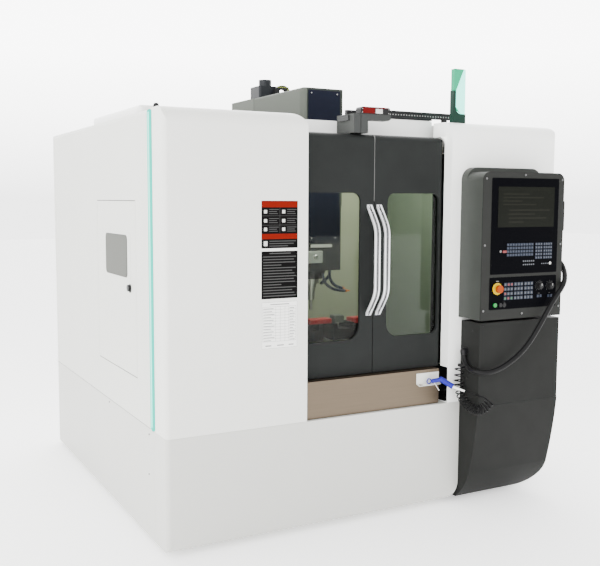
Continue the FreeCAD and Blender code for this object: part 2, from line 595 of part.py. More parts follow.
def covers():
    lower = SEAM_Z + SEAM
    put("base_skirts", shell_block(
        (0, 0, SKIRT_GAP), (CAB_X0 - SEAM, WING, SEAM_Z), SHEET, ["y+"],
        (TOE_R, 0, 0, 0), (0, SKIRT_R, 0, 0), (20, 0, 0, 0)))
    put("base_skirts", shell_block(
        (0, WING + SEAM, SKIRT_GAP), (RETURN_W, DEPTH, SEAM_Z), SHEET, ["x+", "y-"],
        None, None, (0, 0, 0, REAR_R)))
    put("base_skirts", shell_block(
        (WIDTH - RETURN_W, CAB_BACK + SEAM, SKIRT_GAP), (WIDTH, DEPTH, SEAM_Z), SHEET,
        ["x-"], None, None, (0, 0, REAR_R, 0)))
    left = shell_block((0, 0, lower), (OPENING_X0, WING, COVER_TOP), SHEET, ["y+"],
                       (0, 0, 0, TOP_R), (0, 0, TOP_R, 0), (20, 0, 0, 0))
    left = left.cut(box(OPENING_X0 - TOP_R - 5, OPENING_X0 + 1, DOOR_FRONT - 5, WING + 1,
                        APRON_TOP - 3, DOOR_TOP + 4))
    put("left_front_cover", left)
    right = shell_block((OPENING_X1, 0, lower), (WIDTH, WING, COVER_TOP), SHEET, ["y+"],
                        (0, 0, 0, TOP_R), (0, 0, 30, 0), (0, 20, 0, 0))
    right = right.cut(box(OPENING_X1 - 1, OPENING_X1 + SHEET + 1, RETURN_DEPTH, WING + 1,
                          APRON_TOP - 3, DOOR_TOP + 4))
    right = right.cut(box(OPENING_X1 - 1, OPENING_X1 + SHEET + 1, SHEET, WING + 1,
                          lower + SHEET, DOOR_BOTTOM))
    put("right_front_cover", right)
    side = shell_block((0, SIDE_Y0, lower), (RETURN_W, DEPTH, COVER_TOP), SHEET,
                       ["x+", "y-"], None, (0, 0, 0, 25), (0, 0, 0, REAR_R))
    y0, y1, z0, z1 = ACCESS
    side = side.cut(box(-1, SHEET + 1, y0, y1, z0, z1))
    pins = []
    for z, up in ((z1, 1), (z0, -1)):
        hinge_y = y1 - 2.5 - HINGE_INSET
        block = box(SHEET, 14, hinge_y - 9, y1 + 6, *sorted((z + up * 3, z + up * 18)))
        pin = cyl(2.5, (HINGE_INSET, hinge_y, z - up * 12), (HINGE_INSET, hinge_y, z + up * 8))
        pins += [block, pin]
    flange = box(0, 11.5, SIDE_Y0, SIDE_Y0 + SHEET, lower, COVER_TOP - 30)
    seat = box(8.5, 11.5, WING + SEAM, SIDE_Y0 + SHEET, lower, COVER_TOP - 30)
    tab = box(26, RETURN_W, WING + SEAM, SIDE_Y0 + 1, COVER_TOP - SHEET, COVER_TOP)
    put("side_and_rear_panels", fuse([side, flange, seat, tab] + pins))
    put("side_and_rear_panels", shell_block(
        (WIDTH - RETURN_W, WING + SEAM, lower), (WIDTH, DEPTH, COVER_TOP), SHEET,
        ["x-", "y-"], None, (0, 0, 25, 0), (0, 0, REAR_R, 0)))
    x0, x1, z0, z1 = REAR_DOOR
    rear = box(RETURN_W + SEAM, WIDTH - RETURN_W - SEAM, DEPTH - SHEET, DEPTH, SKIRT_GAP,
               COVER_TOP)
    rear = rear.cut(box(x0 + 20, x1 - 20, DEPTH - 9, DEPTH + 9, z0 + 20, z1 - 20))
    flange = box(RETURN_W + SEAM, WIDTH - RETURN_W - SEAM, DEPTH - 40, DEPTH,
                 COVER_TOP - SHEET, COVER_TOP)
    ears = []
    for z in (z0 + 90, z1 - 150):
        ears.append(box(x0 - 22, x0 - 9, DEPTH, DEPTH + 12, z, z + 60))
        ears.append(cyl(4, (x0 - 9, DEPTH + 12, z - 18), (x0 - 9, DEPTH + 12, z + 60)))
    put("side_and_rear_panels", fuse([rear, flange] + ears))


def roof():
    edge = RETURN_W + 0.5
    inner_l, inner_r = 640.0, 1570.0
    back = DEPTH - SHEET - 0.5
    put("roof_panels", box(edge, inner_l, WING + SEAM, back, ROOF_Z - SHEET, ROOF_Z))
    put("roof_panels", box(inner_r, WIDTH - edge, WING + SEAM, back, ROOF_Z - SHEET, ROOF_Z))
    put("roof_panels", box(inner_l + SEAM, inner_r - SEAM, 1735, back, ROOF_Z - SHEET, ROOF_Z))
    put("roof_panels", shell_block((34, 430, COVER_TOP + 0.3), (600, 1250, COVER_TOP + 42), 2.0,
                                  ["z-"], (0, 0, 18, 18), (0, 0, 18, 18), (30, 30, 30, 30)))
    beam = shell_block((290, WING + SEAM, RAIL_Z - 36), (1945, WING + 65, DOOR_TOP - 6), SHEET,
                       ["y+"], (0, 0, 0, 8), None, None)
    tray_y = WING + 65 - SHEET
    upstand = box(290, 1945, tray_y, WING + 65, DOOR_TOP - 6 - SHEET, ROOF_Z - SHEET - 0.3)
    tray = polygon_prism([(TRAY_X0, 1985), (TRAY_X1, 1985), (TRAY_X1, 2008), (TRAY_X1 - 45, TRAY_TOP),
                          (TRAY_X0, TRAY_TOP)], "y", tray_y, WING + 65)
    put("roof_panels", fuse([beam, upstand, tray]))
    rail_y1 = WING + SEAM - 0.3
    rails = [box(300, 1935, rail_y1 - RAIL_T, rail_y1, RAIL_Z - RAIL_H, RAIL_Z),
             box(300, 1935, 118, 126, APRON_TOP + 0.3, DOOR_BOTTOM - RUN_GAP)]
    put("rails_and_screws", group(rails))
    guard_y0 = WING + 67
    put("chamber_guards", box(330, 333, guard_y0, 1110, 555.5, ROOF_Z - SHEET - 0.3))
    put("chamber_guards", box(1880, 1883, guard_y0, 1110, 555.5, ROOF_Z - SHEET - 0.3))
    rear = box(333.3, 1879.7, 1107, 1110, 555.5, ROOF_Z - SHEET - 0.3)
    rear = rear.cut(box(SPINDLE_X - 146, SPINDLE_X + 146, 1100, 1120, 905, 2000))
    rear = rear.cut(box(SPINDLE_X - 300, SPINDLE_X + 300, 1100, 1120, 550, 720))
    rear = rear.cut(box(BED_X0 - 0.5, BED_X1 + 0.5, 1100, 1120, 540, BED_TOP + 0.5))
    rear = rear.cut(box(415, 765, 1100, 1120, 1257, 1285))
    put("chamber_guards", rear)
    trays = []
    for x0, x1 in ((330, BED_X0 - 0.5), (BED_X1 + 0.5, 1883)):
        trays.append(box(x0, x1, guard_y0, 1110, 549.5, 555))
    put("chamber_guards", group(trays))


def trims():
    put("apron", shell_block((OPENING_X0 + SEAM, APRON_Y, SEAM_Z + SEAM),
                             (APRON_X1, WING - 8, APRON_TOP), APRON_SHEET, ["y+", "z-"]))
    z0, z1 = SEAM_Z + SEAM, COVER_TOP - 6
    y0, y1 = LED_Y - LED_W / 2 + 0.4 - 1.6, LED_Y + LED_W / 2
    r = (y1 - y0) / 2
    lens = cyl(r, (r - LED_PROUD, (y0 + y1) / 2, z0), (r - LED_PROUD, (y0 + y1) / 2, z1))
    put("light_strip", lens.common(box(-LED_PROUD - 1, 8, y0, y1, z0, z1)))
    put("roof_fittings", revolve([(0, COVER_TOP + 0.2), (13, COVER_TOP + 0.2), (13, COVER_TOP + 16),
                               (9, COVER_TOP + 24), (0, COVER_TOP + 26)], 34, LED_Y + 10))
    z = COVER_TOP
    x0, x1 = TOWER_X - TOWER_W / 2, TOWER_X + TOWER_W / 2
    y0, y1 = TOWER_Y - TOWER_D / 2, TOWER_Y + TOWER_D / 2
    foot_top = z + TOWER_FOOT
    fillet = 34.0
    for name, g in (("roof_fittings", 0.0), ("tower_light_lens", RUN_GAP)):
        fin = x0 + TOWER_FIN + g
        base = outline_prism([
            ((x0 - g, z + 0.2), (x1 + g, z + 0.2)), ((x1 + g, z + 0.2), (x1 + g, foot_top + g)),
            ((x1 + g, foot_top + g), (fin + fillet, foot_top + g)),
            ((fin + fillet, foot_top + g), (fin + fillet * 0.293, foot_top + g + fillet * 0.293),
             (fin, foot_top + g + fillet)),
            ((fin, foot_top + g + fillet), (fin, TOWER_FIN_TOP + g)),
            ((fin, TOWER_FIN_TOP + g), (x0 - g, TOWER_FIN_TOP + g)),
            ((x0 - g, TOWER_FIN_TOP + g), (x0 - g, z + 0.2))], "y", y0 - g, y1 + g)
        if name == "roof_fittings":
            put(name, base)
        else:
            lens = rounded_block((x0, y0, z + 20), (x1, y1, TOWER_TOP), None, (0, 0, 16, 6),
                                 [8] * 4)
            put(name, lens.cut(base))
    x0 = 1347.0
    x1 = APRON_X1 - 3
    plate = box(x0, x1, APRON_Y - 2.3, APRON_Y - 0.3, 662, 716)
    shelf = polygon_prism([(19.7, 664), (17.7, 664), (-6, 656), (-6, 654), (18.2, 662),
                           (19.7, 662)], "x", x0, x1)
    shelf = shelf.cut(rounded_prism((x0 + 6, -2, 640), (x0 + 30, 13, 680), "z", [7.4] * 4))
    put("brackets", fuse([plate, shelf]))
    y1 = WING + 61
    seam = POST_X0 + 38
    post = [box(POST_X0, POST_X0 + 3, POST_FRONT, y1, DOOR_TOP + 3, POST_TOP),
            box(POST_X0, seam, POST_FRONT, POST_FRONT + 3, DOOR_TOP + 3, POST_TOP),
            box(seam + 3, POST_X1, POST_FRONT, POST_FRONT + 3, DOOR_TOP + 3, POST_TOP),
            box(POST_X0, POST_X1, POST_FRONT, y1, POST_TOP - 3, POST_TOP),
            box(POST_X1 - 3, POST_X1, POST_FRONT, y1, DOOR_TOP + 3, POST_TOP),
            box(POST_X0, POST_X1, WING + 10, y1, DOOR_TOP - 5.7, DOOR_TOP + 3),
            polygon_prism([(POST_X1 - 3, 1980), (POST_X1 + 20, 1985), (ARM_X1 - 12, 1985),
                           (ARM_X1, 1993), (ARM_X1, POST_TOP), (POST_X1 - 3, POST_TOP)],
                          "y", POST_FRONT, POST_FRONT + 56),
            box(POST_X0 - 10, POST_X0 + 1, POST_FRONT + 40, POST_FRONT + 130, 1982, POST_TOP - 4)]
    put("brackets", fuse(post))
    switch = rounded_block((1022, POST_FRONT + 3, POST_TOP + 0.3), (ARM_X1 - 2, POST_FRONT + 50,
                           POST_TOP + 35), None, (4, 12, 12, 14), None)
    put("roof_fittings", switch)
    duct = box(1040, 1700, WING + 60, WING + 82, TRAY_TOP + 0.3, TRAY_TOP + 22)
    foot = box(1640, 1664, WING + 60, WING + 82, ROOF_Z + 0.3, TRAY_TOP + 0.3)
    put("roof_fittings", fuse([duct, foot]))


def side_door():
    y0, y1, z0, z1 = ACCESS
    gap = 2.0
    lo, hi = (0, y0 + gap, z0 + gap), (22, y1 - 2.5, z1 - gap)
    door = shell_block(lo, hi, 2.0, ["x+"])
    py0, py1, pz0, pz1 = ACCESS_PANE
    door = door.cut(rounded_prism((-1, py0, pz0), (3, py1, pz1), "x", [18] * 4))
    hinge_y = y1 - 2.5 - HINGE_INSET
    for z in (z0 + gap, z1 - gap):
        door = door.cut(cyl(2.8, (HINGE_INSET, hinge_y, z - 4), (HINGE_INSET, hinge_y, z + 4)))
    door = door.cut(cyl(5.3, (-1, KNOB_Y, KNOB_Z), (4, KNOB_Y, KNOB_Z)))
    put("access_door", door)
    put("access_door_pane", box(2.3, 6.3, py0 - 14, py1 + 14, pz0 - 14, pz1 + 14))
    put("access_knob", fuse([
        cyl(16, (-14, KNOB_Y, KNOB_Z), (-0.3, KNOB_Y, KNOB_Z)),
        cyl(5, (-1, KNOB_Y, KNOB_Z), (10, KNOB_Y, KNOB_Z)),
        box(4, 8, KNOB_Y - 8, KNOB_Y + 8, KNOB_Z - 20, KNOB_Z + 8)]))


def rear_door():
    x0, x1, z0, z1 = REAR_DOOR
    y = DEPTH + RUN_GAP
    door = shell_block((x0, y, z0), (x1, y + 20, z1), 2.0, ["y-"], None, None, (0, 0, 4, 4))
    for z in (z0 + 90, z1 - 150):
        arm = box(x0 - 9, x0 + 2, DEPTH + 8, DEPTH + 16, z - 21, z - 0.3)
        arm = arm.fuse(cyl(8, (x0 - 9, DEPTH + 12, z - 21), (x0 - 9, DEPTH + 12, z - 0.3)))
        door = door.fuse(arm.cut(cyl(4.3, (x0 - 9, DEPTH + 12, z - 22),
                                     (x0 - 9, DEPTH + 12, z))))
    put("rear_door", door)


# ---- sliding doors -----------------------------------------------------------------
def sliding_door(side, name):
    """side is -1 for the left door and 1 for the right one; the left is mirrored."""
    x0 = DOOR_SPLIT + DOOR_GAP / 2
    x1 = OPENING_X1 - DOOR_GAP
    y0, y1 = DOOR_FRONT, DOOR_FRONT + DOOR_DEPTH
    skin = shell_block((x0, y0, DOOR_BOTTOM), (x1, y1, DOOR_TOP), 2.5, ["y+"],
                       (0, 0, 0, DOOR_TOP_R), (0, 0, DOOR_CORNER_R, 0), (3, DOOR_EDGE_R, 0, 0))
    wx0 = DOOR_SPLIT + DOOR_STILE
    wx1 = wx0 + WINDOW_W
    pane_y = y0 + PANE_BACK
    radii = (WINDOW_LOW_R, WINDOW_R, WINDOW_R, WINDOW_R)
    hole = rounded_prism((wx0, y0 - 1, WINDOW_Z0), (wx1, y1, WINDOW_Z1), "y", radii)
    rim = rounded_prism((wx0 - LIP, y0 + 1, WINDOW_Z0 - LIP),
                        (wx1 + LIP, pane_y - RUN_GAP, WINDOW_Z1 + LIP), "y",
                        [r + LIP for r in radii])
    space = rounded_block((x0, y0, DOOR_BOTTOM), (x1, y1, DOOR_TOP), (0, 0, 0, DOOR_TOP_R),
                          (0, 0, DOOR_CORNER_R, 0), (3, DOOR_EDGE_R, 0, 0))
    skin = skin.fuse(rim.common(space)).cut(hole)
    pane = box(wx0 - 10, wx1 + LIP, pane_y, pane_y + PANE, WINDOW_Z0 - 10,
               WINDOW_Z1 + 10)
    hx = DOOR_SPLIT + HANDLE_OFFSET
    out = y0 - HANDLE_PROUD
    path = [(y0 + 9, HANDLE_Z0 - 14), (out, HANDLE_Z0 + HANDLE_RUN),
            (out, HANDLE_Z1 - HANDLE_RUN), (y0 + 9, HANDLE_Z1 + 14)]
    bar = bent_strip(path, HANDLE_BEND_R, HANDLE_THICK, "x", hx - HANDLE_WIDTH / 2,
                     hx + HANDLE_WIDTH / 2)
    for k in (-1, 1):
        gx = hx + k * HANDLE_WIDTH / 5
        groove = bent_strip([(y0 - 2, HANDLE_Z0 - 2), (out - 4.5, HANDLE_Z0 + HANDLE_RUN - 3),
                             (out - 4.5, HANDLE_Z1 - HANDLE_RUN + 3), (y0 - 2, HANDLE_Z1 + 2)],
                            HANDLE_BEND_R, 3.0, "x", gx - 1.5, gx + 1.5)
        bar = bar.cut(groove)
    bar = bar.cut(box(hx - 20, hx + 20, y0, y0 + 20, HANDLE_Z0 - 40, HANDLE_Z1 + 40))
    rollers = []
    for x in (x0 + 60, x1 - 90):
        plate = box(x - 22, x + 22, y1, y1 + 2, DOOR_TOP - 120, RAIL_Z + ROLLER_R + 8)
        zc = RAIL_Z + RUN_GAP + ROLLER_R
        roller = cyl(ROLLER_R, (x, y1 + 3, zc), (x, WING - 0.5, zc))
        rollers += [plate.fuse(cyl(5, (x, y1 + 1, zc), (x, y1 + 4, zc))).fuse(roller)]
    shapes = {"panel": group([skin] + rollers), "pane": pane, "handle": bar}
    for kind, shape in shapes.items():
        if side < 0:
            shape = shape.mirror(V(DOOR_SPLIT, 0, 0), V(1, 0, 0))
        put("%s_door_%s" % (name, kind), shape)


# ---- electrical cabinet and pendant ------------------------------------------------
def cabinet():
    wall = 2.0
    shells = []
    for w in (0.0, wall):
        front = CAB_FRONT + w
        belly = [(y + w, z + w) for y, z in CAB_BELLY]
        outline = [((CAB_BACK + w, SEAM_Z - w), (front, SEAM_Z - w)),
                   ((front, SEAM_Z - w), belly[0], belly[1]), (belly[1], belly[2], belly[3]),
                   (belly[3], (CAB_BACK + w, SKIRT_GAP + w)),
                   ((CAB_BACK + w, SKIRT_GAP + w), (CAB_BACK + w, SEAM_Z - w))]
        body = outline_prism(outline, "x", CAB_X0 + w, CAB_X1 - w)
        shells.append(body.common(rounded_prism(
            (CAB_X0 + w, front, SKIRT_GAP + w), (CAB_X1 - w, CAB_BACK + w, SEAM_Z - w), "y",
            (0, CAB_R - w, 0, 0))))
    put("electrical_cabinet", shells[0].cut(shells[1]))
    upper = shell_block((CAB_X0, CAB_FRONT, SEAM_Z + SEAM), (CAB_X1, -SEAM, CAB_TOP), wall,
                        ["y+"], None, None, (6, 6, 0, 0))
    end, before = V(*CABLE_POINTS[-1]), V(*CABLE_POINTS[-2])
    centre = end + (end - before).normalize() * GLAND_RUN
    y, z = centre.y, centre.z
    upper = upper.cut(cyl(9, (CAB_X0 - 1, y, z), (CAB_X0 + 4, y, z)))
    put("electrical_cabinet", upper)
    elbow = fuse([cyl(16, tuple(centre), (CAB_X0 - 0.3, y, z)), Part.makeSphere(16, centre),
                  cyl(16, tuple(centre), tuple(end)),
                  cyl(8.7, (CAB_X0 - 2, y, z), (CAB_X0 + 8, y, z))])
    put("line_fittings", elbow)


PANEL_X0, PANEL_X1 = 1649.0, 2096.0
PANEL_Z = (1048.0, 1211.0, 1227.0, 1711.0)
STOP = (1696.0, 1154.0)
BUTTONS = [(1681.0, 1072.0), (1717.0, 1071.0), (1741.0, 1071.0)]
KNOBS = [(1978.0, 1158.0), (2052.0, 1156.0)]
SCREWS = [(1613, 1707), (1866, 1728), (2120, 1707), (1610, 1375), (2120, 1372),
          (1610, 1045), (1866, 1020), (2120, 1045)]


def key_grid(x0, z1, columns, rows, pitch_x, pitch_z, size_x, size_z, y):
    keys = []
    for i in range(columns):
        for j in range(rows):
            x, z = x0 + i * pitch_x, z1 - j * pitch_z
            keys.append(box(x, x + size_x, y - 2.0, y, z - size_z, z))
    return keys


def pendant():
    plate_t = 4.0
    back = PEND_FRONT + plate_t
    housing = shell_block((PEND_X0, back + RUN_GAP, PEND_Z0), (PEND_X1, -46, PEND_Z1), 2.5,
                          ["y-"], None, (6, 6, PEND_R, PEND_R), None)
    rear = rounded_block((PEND_X0, -46, PEND_Z0), (PEND_X1 - 42, -0.5, PEND_BACK_TOP),
                         None, (6, 6, 66, 66), None)
    rear = rear.cut(rounded_block((PEND_X0 + 3, -43, PEND_Z0 + 3),
                                  (PEND_X1 - 45, -3.5, PEND_BACK_TOP - 3),
                                  None, (3, 3, 63, 63), None))
    body = fuse([housing, rear]).cut(box(1780, 1960, -60, -40, 1200, 1560))
    put("pendant_housing", body)
    plate = rounded_prism((PEND_X0, PEND_FRONT, PEND_Z0), (PEND_X1, back, PEND_Z1), "y",
                          (6, 6, PEND_R, PEND_R))
    for x, z in SCREWS:
        plate = plate.cut(cyl(3.2, (x, PEND_FRONT - 1, z), (x, back + 1, z)))
    for x, z in BUTTONS:
        plate = plate.cut(cyl(9.3, (x, PEND_FRONT - 1, z), (x, back + 1, z)))
    x, z = STOP
    plate = plate.cut(cyl(11.3, (x, PEND_FRONT - 1, z), (x, back + 1, z)))
    for x, z in KNOBS:
        plate = plate.cut(cyl(5.3, (x, PEND_FRONT - 1, z), (x, back + 1, z)))
    put("pendant_housing", plate)
    heads = [fuse([cyl(5.5, (x, PEND_FRONT - 2.2, z), (x, PEND_FRONT, z)),
                   cyl(3.0, (x, PEND_FRONT - 1, z), (x, back, z))]) for x, z in SCREWS]
    put("pendant_screws", group(heads))
    face = PEND_FRONT - PANEL_PROUD
    panel = rounded_prism((PANEL_X0, face, PANEL_Z[2]), (PANEL_X1, PEND_FRONT, PANEL_Z[3]), "y",
                          [5] * 4)
    put("pendant_overlays", panel)
    put("screen", box(1689, 2066, face - 1.0, face, 1464, 1668))
    machine = rounded_prism((PANEL_X0 - 2, face, PANEL_Z[0]), (PANEL_X1, PEND_FRONT, PANEL_Z[1]),
                            "y", [5] * 4)
    for x, z in BUTTONS:
        machine = machine.cut(cyl(9.3, (x, face - 1, z), (x, PEND_FRONT + 1, z)))
    x, z = STOP
    machine = machine.cut(cyl(11.3, (x, face - 1, z), (x, PEND_FRONT + 1, z)))
    for x, z in KNOBS:
        machine = machine.cut(cyl(5.3, (x, face - 1, z), (x, PEND_FRONT + 1, z)))
    put("pendant_overlays", machine)
    keys = key_grid(1753, 1382, 10, 4, 18, 17.5, 14, 13, face)
    keys += key_grid(1944, 1382, 3, 5, 17, 17.5, 13, 13, face)
    keys += key_grid(2000, 1382, 4, 5, 15.5, 17.5, 12, 13, face)
    put("membrane_keys", group(keys))
    keys = []
    for gx in (1741, 1808, 1876):
        keys += key_grid(gx, 1182, 3, 4, 21, 23.5, 16, 17, face)
    keys += key_grid(1964, 1112, 2, 1, 19, 20, 13, 14, face)
    keys += key_grid(2038, 1110, 2, 1, 19, 20, 13, 14, face)
    put("membrane_keys", group(keys))
    x, z = STOP
    put("pendant_overlays", cyl(30, (x, face - 3, z), (x, face, z)).cut(
        cyl(11.3, (x, face - 4, z), (x, face + 1, z))))
    front = face - 3 - 9
    put("stop_button", fuse([cyl(11, (x, front, z), (x, PEND_FRONT + 12, z)),
                             cyl(20, (x, front - 14, z), (x, front, z))]))
    for name, (x, z) in zip(("start_button", "hold_button", "cycle_button"), BUTTONS):
        put(name, fuse([cyl(9, (x, face - 8, z), (x, PEND_FRONT + 10, z)),
                        cyl(10.5, (x, face - 8, z), (x, face - 4, z))]))
    for name, (x, z) in zip(("feed_knob", "speed_knob"), KNOBS):
        put(name, fuse([cyl(5, (x, face - 4, z), (x, PEND_FRONT + 10, z)),
                        cyl(20, (x, face - 4, z), (x, face - RUN_GAP, z)),
                        cyl(14, (x, face - 20, z), (x, face - 4, z)),
                        box(x - 2, x + 2, face - 22, face - 12, z, z + 14)]))
    hang_x = PEND_X1
    holder = box(hang_x + 0.3, hang_x + 5, -140, -60, 1490, 1560)
    unit = rounded_prism((hang_x + 5, -146, 1440), (hang_x + 33, -58, 1598), "x", [10] * 4)
    unit = unit.cut(cyl(6.3, (hang_x + 20, -102, 1490), (hang_x + 40, -102, 1490)))
    put("pendant_housing", fuse([holder, unit]))
    put("handwheel", fuse([
        cyl(6, (hang_x + 22, -102, 1490), (hang_x + 35, -102, 1490)),
        cyl(29, (hang_x + 33.3, -102, 1490), (hang_x + 42, -102, 1490)),
        cyl(5, (hang_x + 41, -102, 1509), (hang_x + 58, -102, 1509))]))


# ---- cable and air hose ------------------------------------------------------------
def smooth_axis(points, count):
    """Points evenly spaced in parameter along the quadratic B-spline of the route."""
    p = [V(*q) for q in points]
    spline = Part.BSplineCurve()
    spline.buildFromPoles(p, False, 2)
    return spline, [spline.FirstParameter + (spline.LastParameter - spline.FirstParameter)
                    * k / count for k in range(count + 1)]


def biarc(p0, t0, p1, t1):
    """Two tangent arcs from p0 along t0 to p1 along t1."""
    v = p1 - p0
    total = t0 + t1
    a = 2 * (1 - t0.dot(t1))
    b = v.dot(total)
    d = (-b + math.sqrt(b * b + a * v.dot(v))) / a if a > 1e-9 else v.dot(v) / (2 * b)
    q0, q1 = p0 + t0 * d, p1 - t1 * d
    joint = (q0 + q1) * 0.5
    arcs = []
    for start, apex, end in ((p0, q0, joint), (joint, q1, p1)):
        chord_mid = (start + end) * 0.5
        rise = (apex - chord_mid).Length
        half = (end - start).Length / 2
        if rise < 1e-6:
            arcs.append(Part.LineSegment(start, end).toShape())
            continue
        sag = half * math.tan(math.atan2(rise, half) / 2)
        arcs.append(Part.Arc(start, chord_mid + (apex - chord_mid) * (sag / rise),
                             end).toShape())
    return arcs


def coil():
    quarter = 4
    steps = round(COIL_TURNS * quarter)
    spline, params = smooth_axis(COIL_POINTS, steps)
    side = V(0, -1, 0)
    samples = []
    for k, u in enumerate(params):
        centre = spline.value(u)
        axis = V(*spline.tangent(u)[0])
        side = (side - axis * side.dot(axis)).normalize()
        up = axis.cross(side)
        angle = 2 * math.pi * k / quarter
        out = side * math.cos(angle) + up * math.sin(angle)
        around = up * math.cos(angle) - side * math.sin(angle)
        speed = (spline.value(params[min(k + 1, steps)])
                 - spline.value(params[max(k - 1, 0)])).Length
        advance = axis * (speed / (1 if k in (0, steps) else 2))
        tangent = (around * (COIL_R * 2 * math.pi / quarter) + advance).normalize()
        samples.append((centre + out * COIL_R, tangent))
    edges = []
    for (p0, t0), (p1, t1) in zip(samples, samples[1:]):
        edges += biarc(p0, t0, p1, t1)
    first, first_t = samples[0]
    last, last_t = samples[-1]
    lead = 2 * HOSE_R
    edges.insert(0, Part.LineSegment(first - first_t * lead, first).toShape())
    edges.append(Part.LineSegment(last, last + last_t * lead).toShape())
    wire = Part.Wire(edges)
    ring = Part.Wire(Part.makeCircle(HOSE_R, first - first_t * lead, first_t))
    shape = wire.makePipeShell([ring], True, False)
    dots = wire.discretize(round(COIL_TURNS * 24))
    window = 16
    least = min((dots[i] - dots[j]).Length for i in range(len(dots))
                for j in range(i + window, min(i + 40, len(dots)))) - 2 * HOSE_R
    print("coil: length %.0f, least gap %.2f, valid %s" % (wire.Length, least, shape.isValid()))
    return shape, first - first_t * lead, first_t, last + last_t * lead, last_t


# hand-chosen points of the air gun and its tail
GUN_RING = (1414, 2, 674.6)
GUN_BODY = [(1430, -10, 676), (1470, -26, 684), (1517, -62, 649)]
GUN_END = (1567, -95, 628)
GUN_PIVOT = (1436, -13, 668.5)
GUN_TIP = (1455, -28, 630)
TAIL_POINTS = [(1588, -109, 619), (1602, -138, 612), (1608, -172, 610)]


def along(a, b, t):
    return tuple(p + (q - p) * t for p, q in zip(a, b))


def air_line():
    shape, first, first_t, last, last_t = coil()
    print("coil ends", [[round(c, 2) for c in v] for v in (first, first_t, last, last_t)])
    put("air_hose_coil", shape, True)
    back = first - first_t * 16
    put("line_fittings", fuse([
        cyl(7, tuple(back), tuple(first)),
        Part.makeSphere(8.5, back),
        cyl(8, tuple(back), (back.x, -0.3, back.z)),
        cyl(8.5, (back.x, -8, back.z), (back.x, -0.3, back.z))]))
    lead = last + last_t * 22
    route = [tuple(last), tuple(lead)] + TAIL_POINTS[::-1] + [GUN_END]
    put("air_hose_tail", round_tube(route, HOSE_R), True)
    a, b, c = GUN_BODY
    shell = fuse([cyl(11, a, b), Part.makeSphere(14, V(*b)), cyl(14, b, c),
                  Part.makeSphere(11, V(*a)),
                  Part.makeTorus(12.5, 2.8, V(*GUN_RING), V(0, 1, 0))])
    px, py, pz = GUN_PIVOT
    slot = box(px - 6, px + 10, py - 4.5, py + 4.5, pz - 14, pz + 5)
    pin = cyl(1.6, (px, py - 5.5, pz), (px, py + 6, pz))
    put("air_gun", fuse([shell.cut(slot), pin]))
    nipple = fuse([cyl(10, c, along(c, GUN_END, 0.55)),
                   cyl(7.5, along(c, GUN_END, 0.55), GUN_END)])
    put("gun_connector", nipple.cut(shell))
    lever = fuse([cyl(2.2, GUN_PIVOT, GUN_TIP), Part.makeSphere(3.2, V(*GUN_TIP)),
                  cyl(3.6, (px, py - 4, pz), (px, py + 4, pz))])
    put("gun_trigger", lever.cut(cyl(1.75, (px, py - 5, pz), (px, py + 5, pz))))


# ---- build -------------------------------------------------------------------------
def main():
    base()
    column()
    ways()
    table()
    head()
    magazine()
    covers()
    roof()
    trims()
    side_door()
    rear_door()
    sliding_door(-1, "left")
    sliding_door(1, "right")
    cabinet()
    pendant()
    air_line()
    put("pendant_cable", round_tube(CABLE_POINTS, CABLE_R), True)
    lo = [1e9] * 3
    hi = [-1e9] * 3
    for name, solids in parts.items():
        shape = group(solids)
        if name in cord_nodes:
            corners = [tuple(v) for v in shape.tessellate(0.2)[0]]
            b_lo, b_hi = [min(c) for c in zip(*corners)], [max(c) for c in zip(*corners)]
        else:
            b = shape.optimalBoundingBox(False)
            b_lo, b_hi = (b.XMin, b.YMin, b.ZMin), (b.XMax, b.YMax, b.ZMax)
        lo = [min(p, q) for p, q in zip(lo, b_lo)]
        hi = [max(p, q) for p, q in zip(hi, b_hi)]
    shift = V(-(lo[0] + hi[0]) / 2, -(lo[1] + hi[1]) / 2, -lo[2])
    print("shift", [round(c, 4) for c in shift], "size",
          [round(q - p, 3) for p, q in zip(lo, hi)])
    os.makedirs("parts", exist_ok=True)
    for name, solids in parts.items():
        shape = group(solids) if len(solids) > 1 else solids[0]
        shape.translate(shift)
        valid = shape.isValid()
        print("%-24s solids %2d volume %12.0f %s" % (name, len(shape.Solids), shape.Volume,
                                                    "" if valid else "NOT VALID"))
        shape.exportStep("parts/%s.step" % name)


main()
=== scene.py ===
import bpy
import bmesh
import math
from mathutils import Matrix, Vector


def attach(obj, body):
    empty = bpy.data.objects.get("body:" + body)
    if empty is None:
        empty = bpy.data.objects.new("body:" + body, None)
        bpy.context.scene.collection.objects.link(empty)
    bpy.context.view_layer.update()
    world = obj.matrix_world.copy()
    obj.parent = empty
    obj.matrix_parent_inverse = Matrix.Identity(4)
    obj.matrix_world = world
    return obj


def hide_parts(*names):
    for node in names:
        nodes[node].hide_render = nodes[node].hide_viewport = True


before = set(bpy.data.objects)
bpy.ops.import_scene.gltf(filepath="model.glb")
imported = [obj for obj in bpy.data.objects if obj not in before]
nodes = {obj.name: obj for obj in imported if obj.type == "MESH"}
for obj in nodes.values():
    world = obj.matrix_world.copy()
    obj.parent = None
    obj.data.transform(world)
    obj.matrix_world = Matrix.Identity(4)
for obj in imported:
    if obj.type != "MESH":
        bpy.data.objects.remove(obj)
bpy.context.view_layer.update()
SHIFT = Vector((-1.113, -0.9667844, 0.0))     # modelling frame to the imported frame


def at(x, y, z):
    """A point of the modelling frame, in millimetres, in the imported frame."""
    return Vector((x, y, z)) / 1000.0 + SHIFT


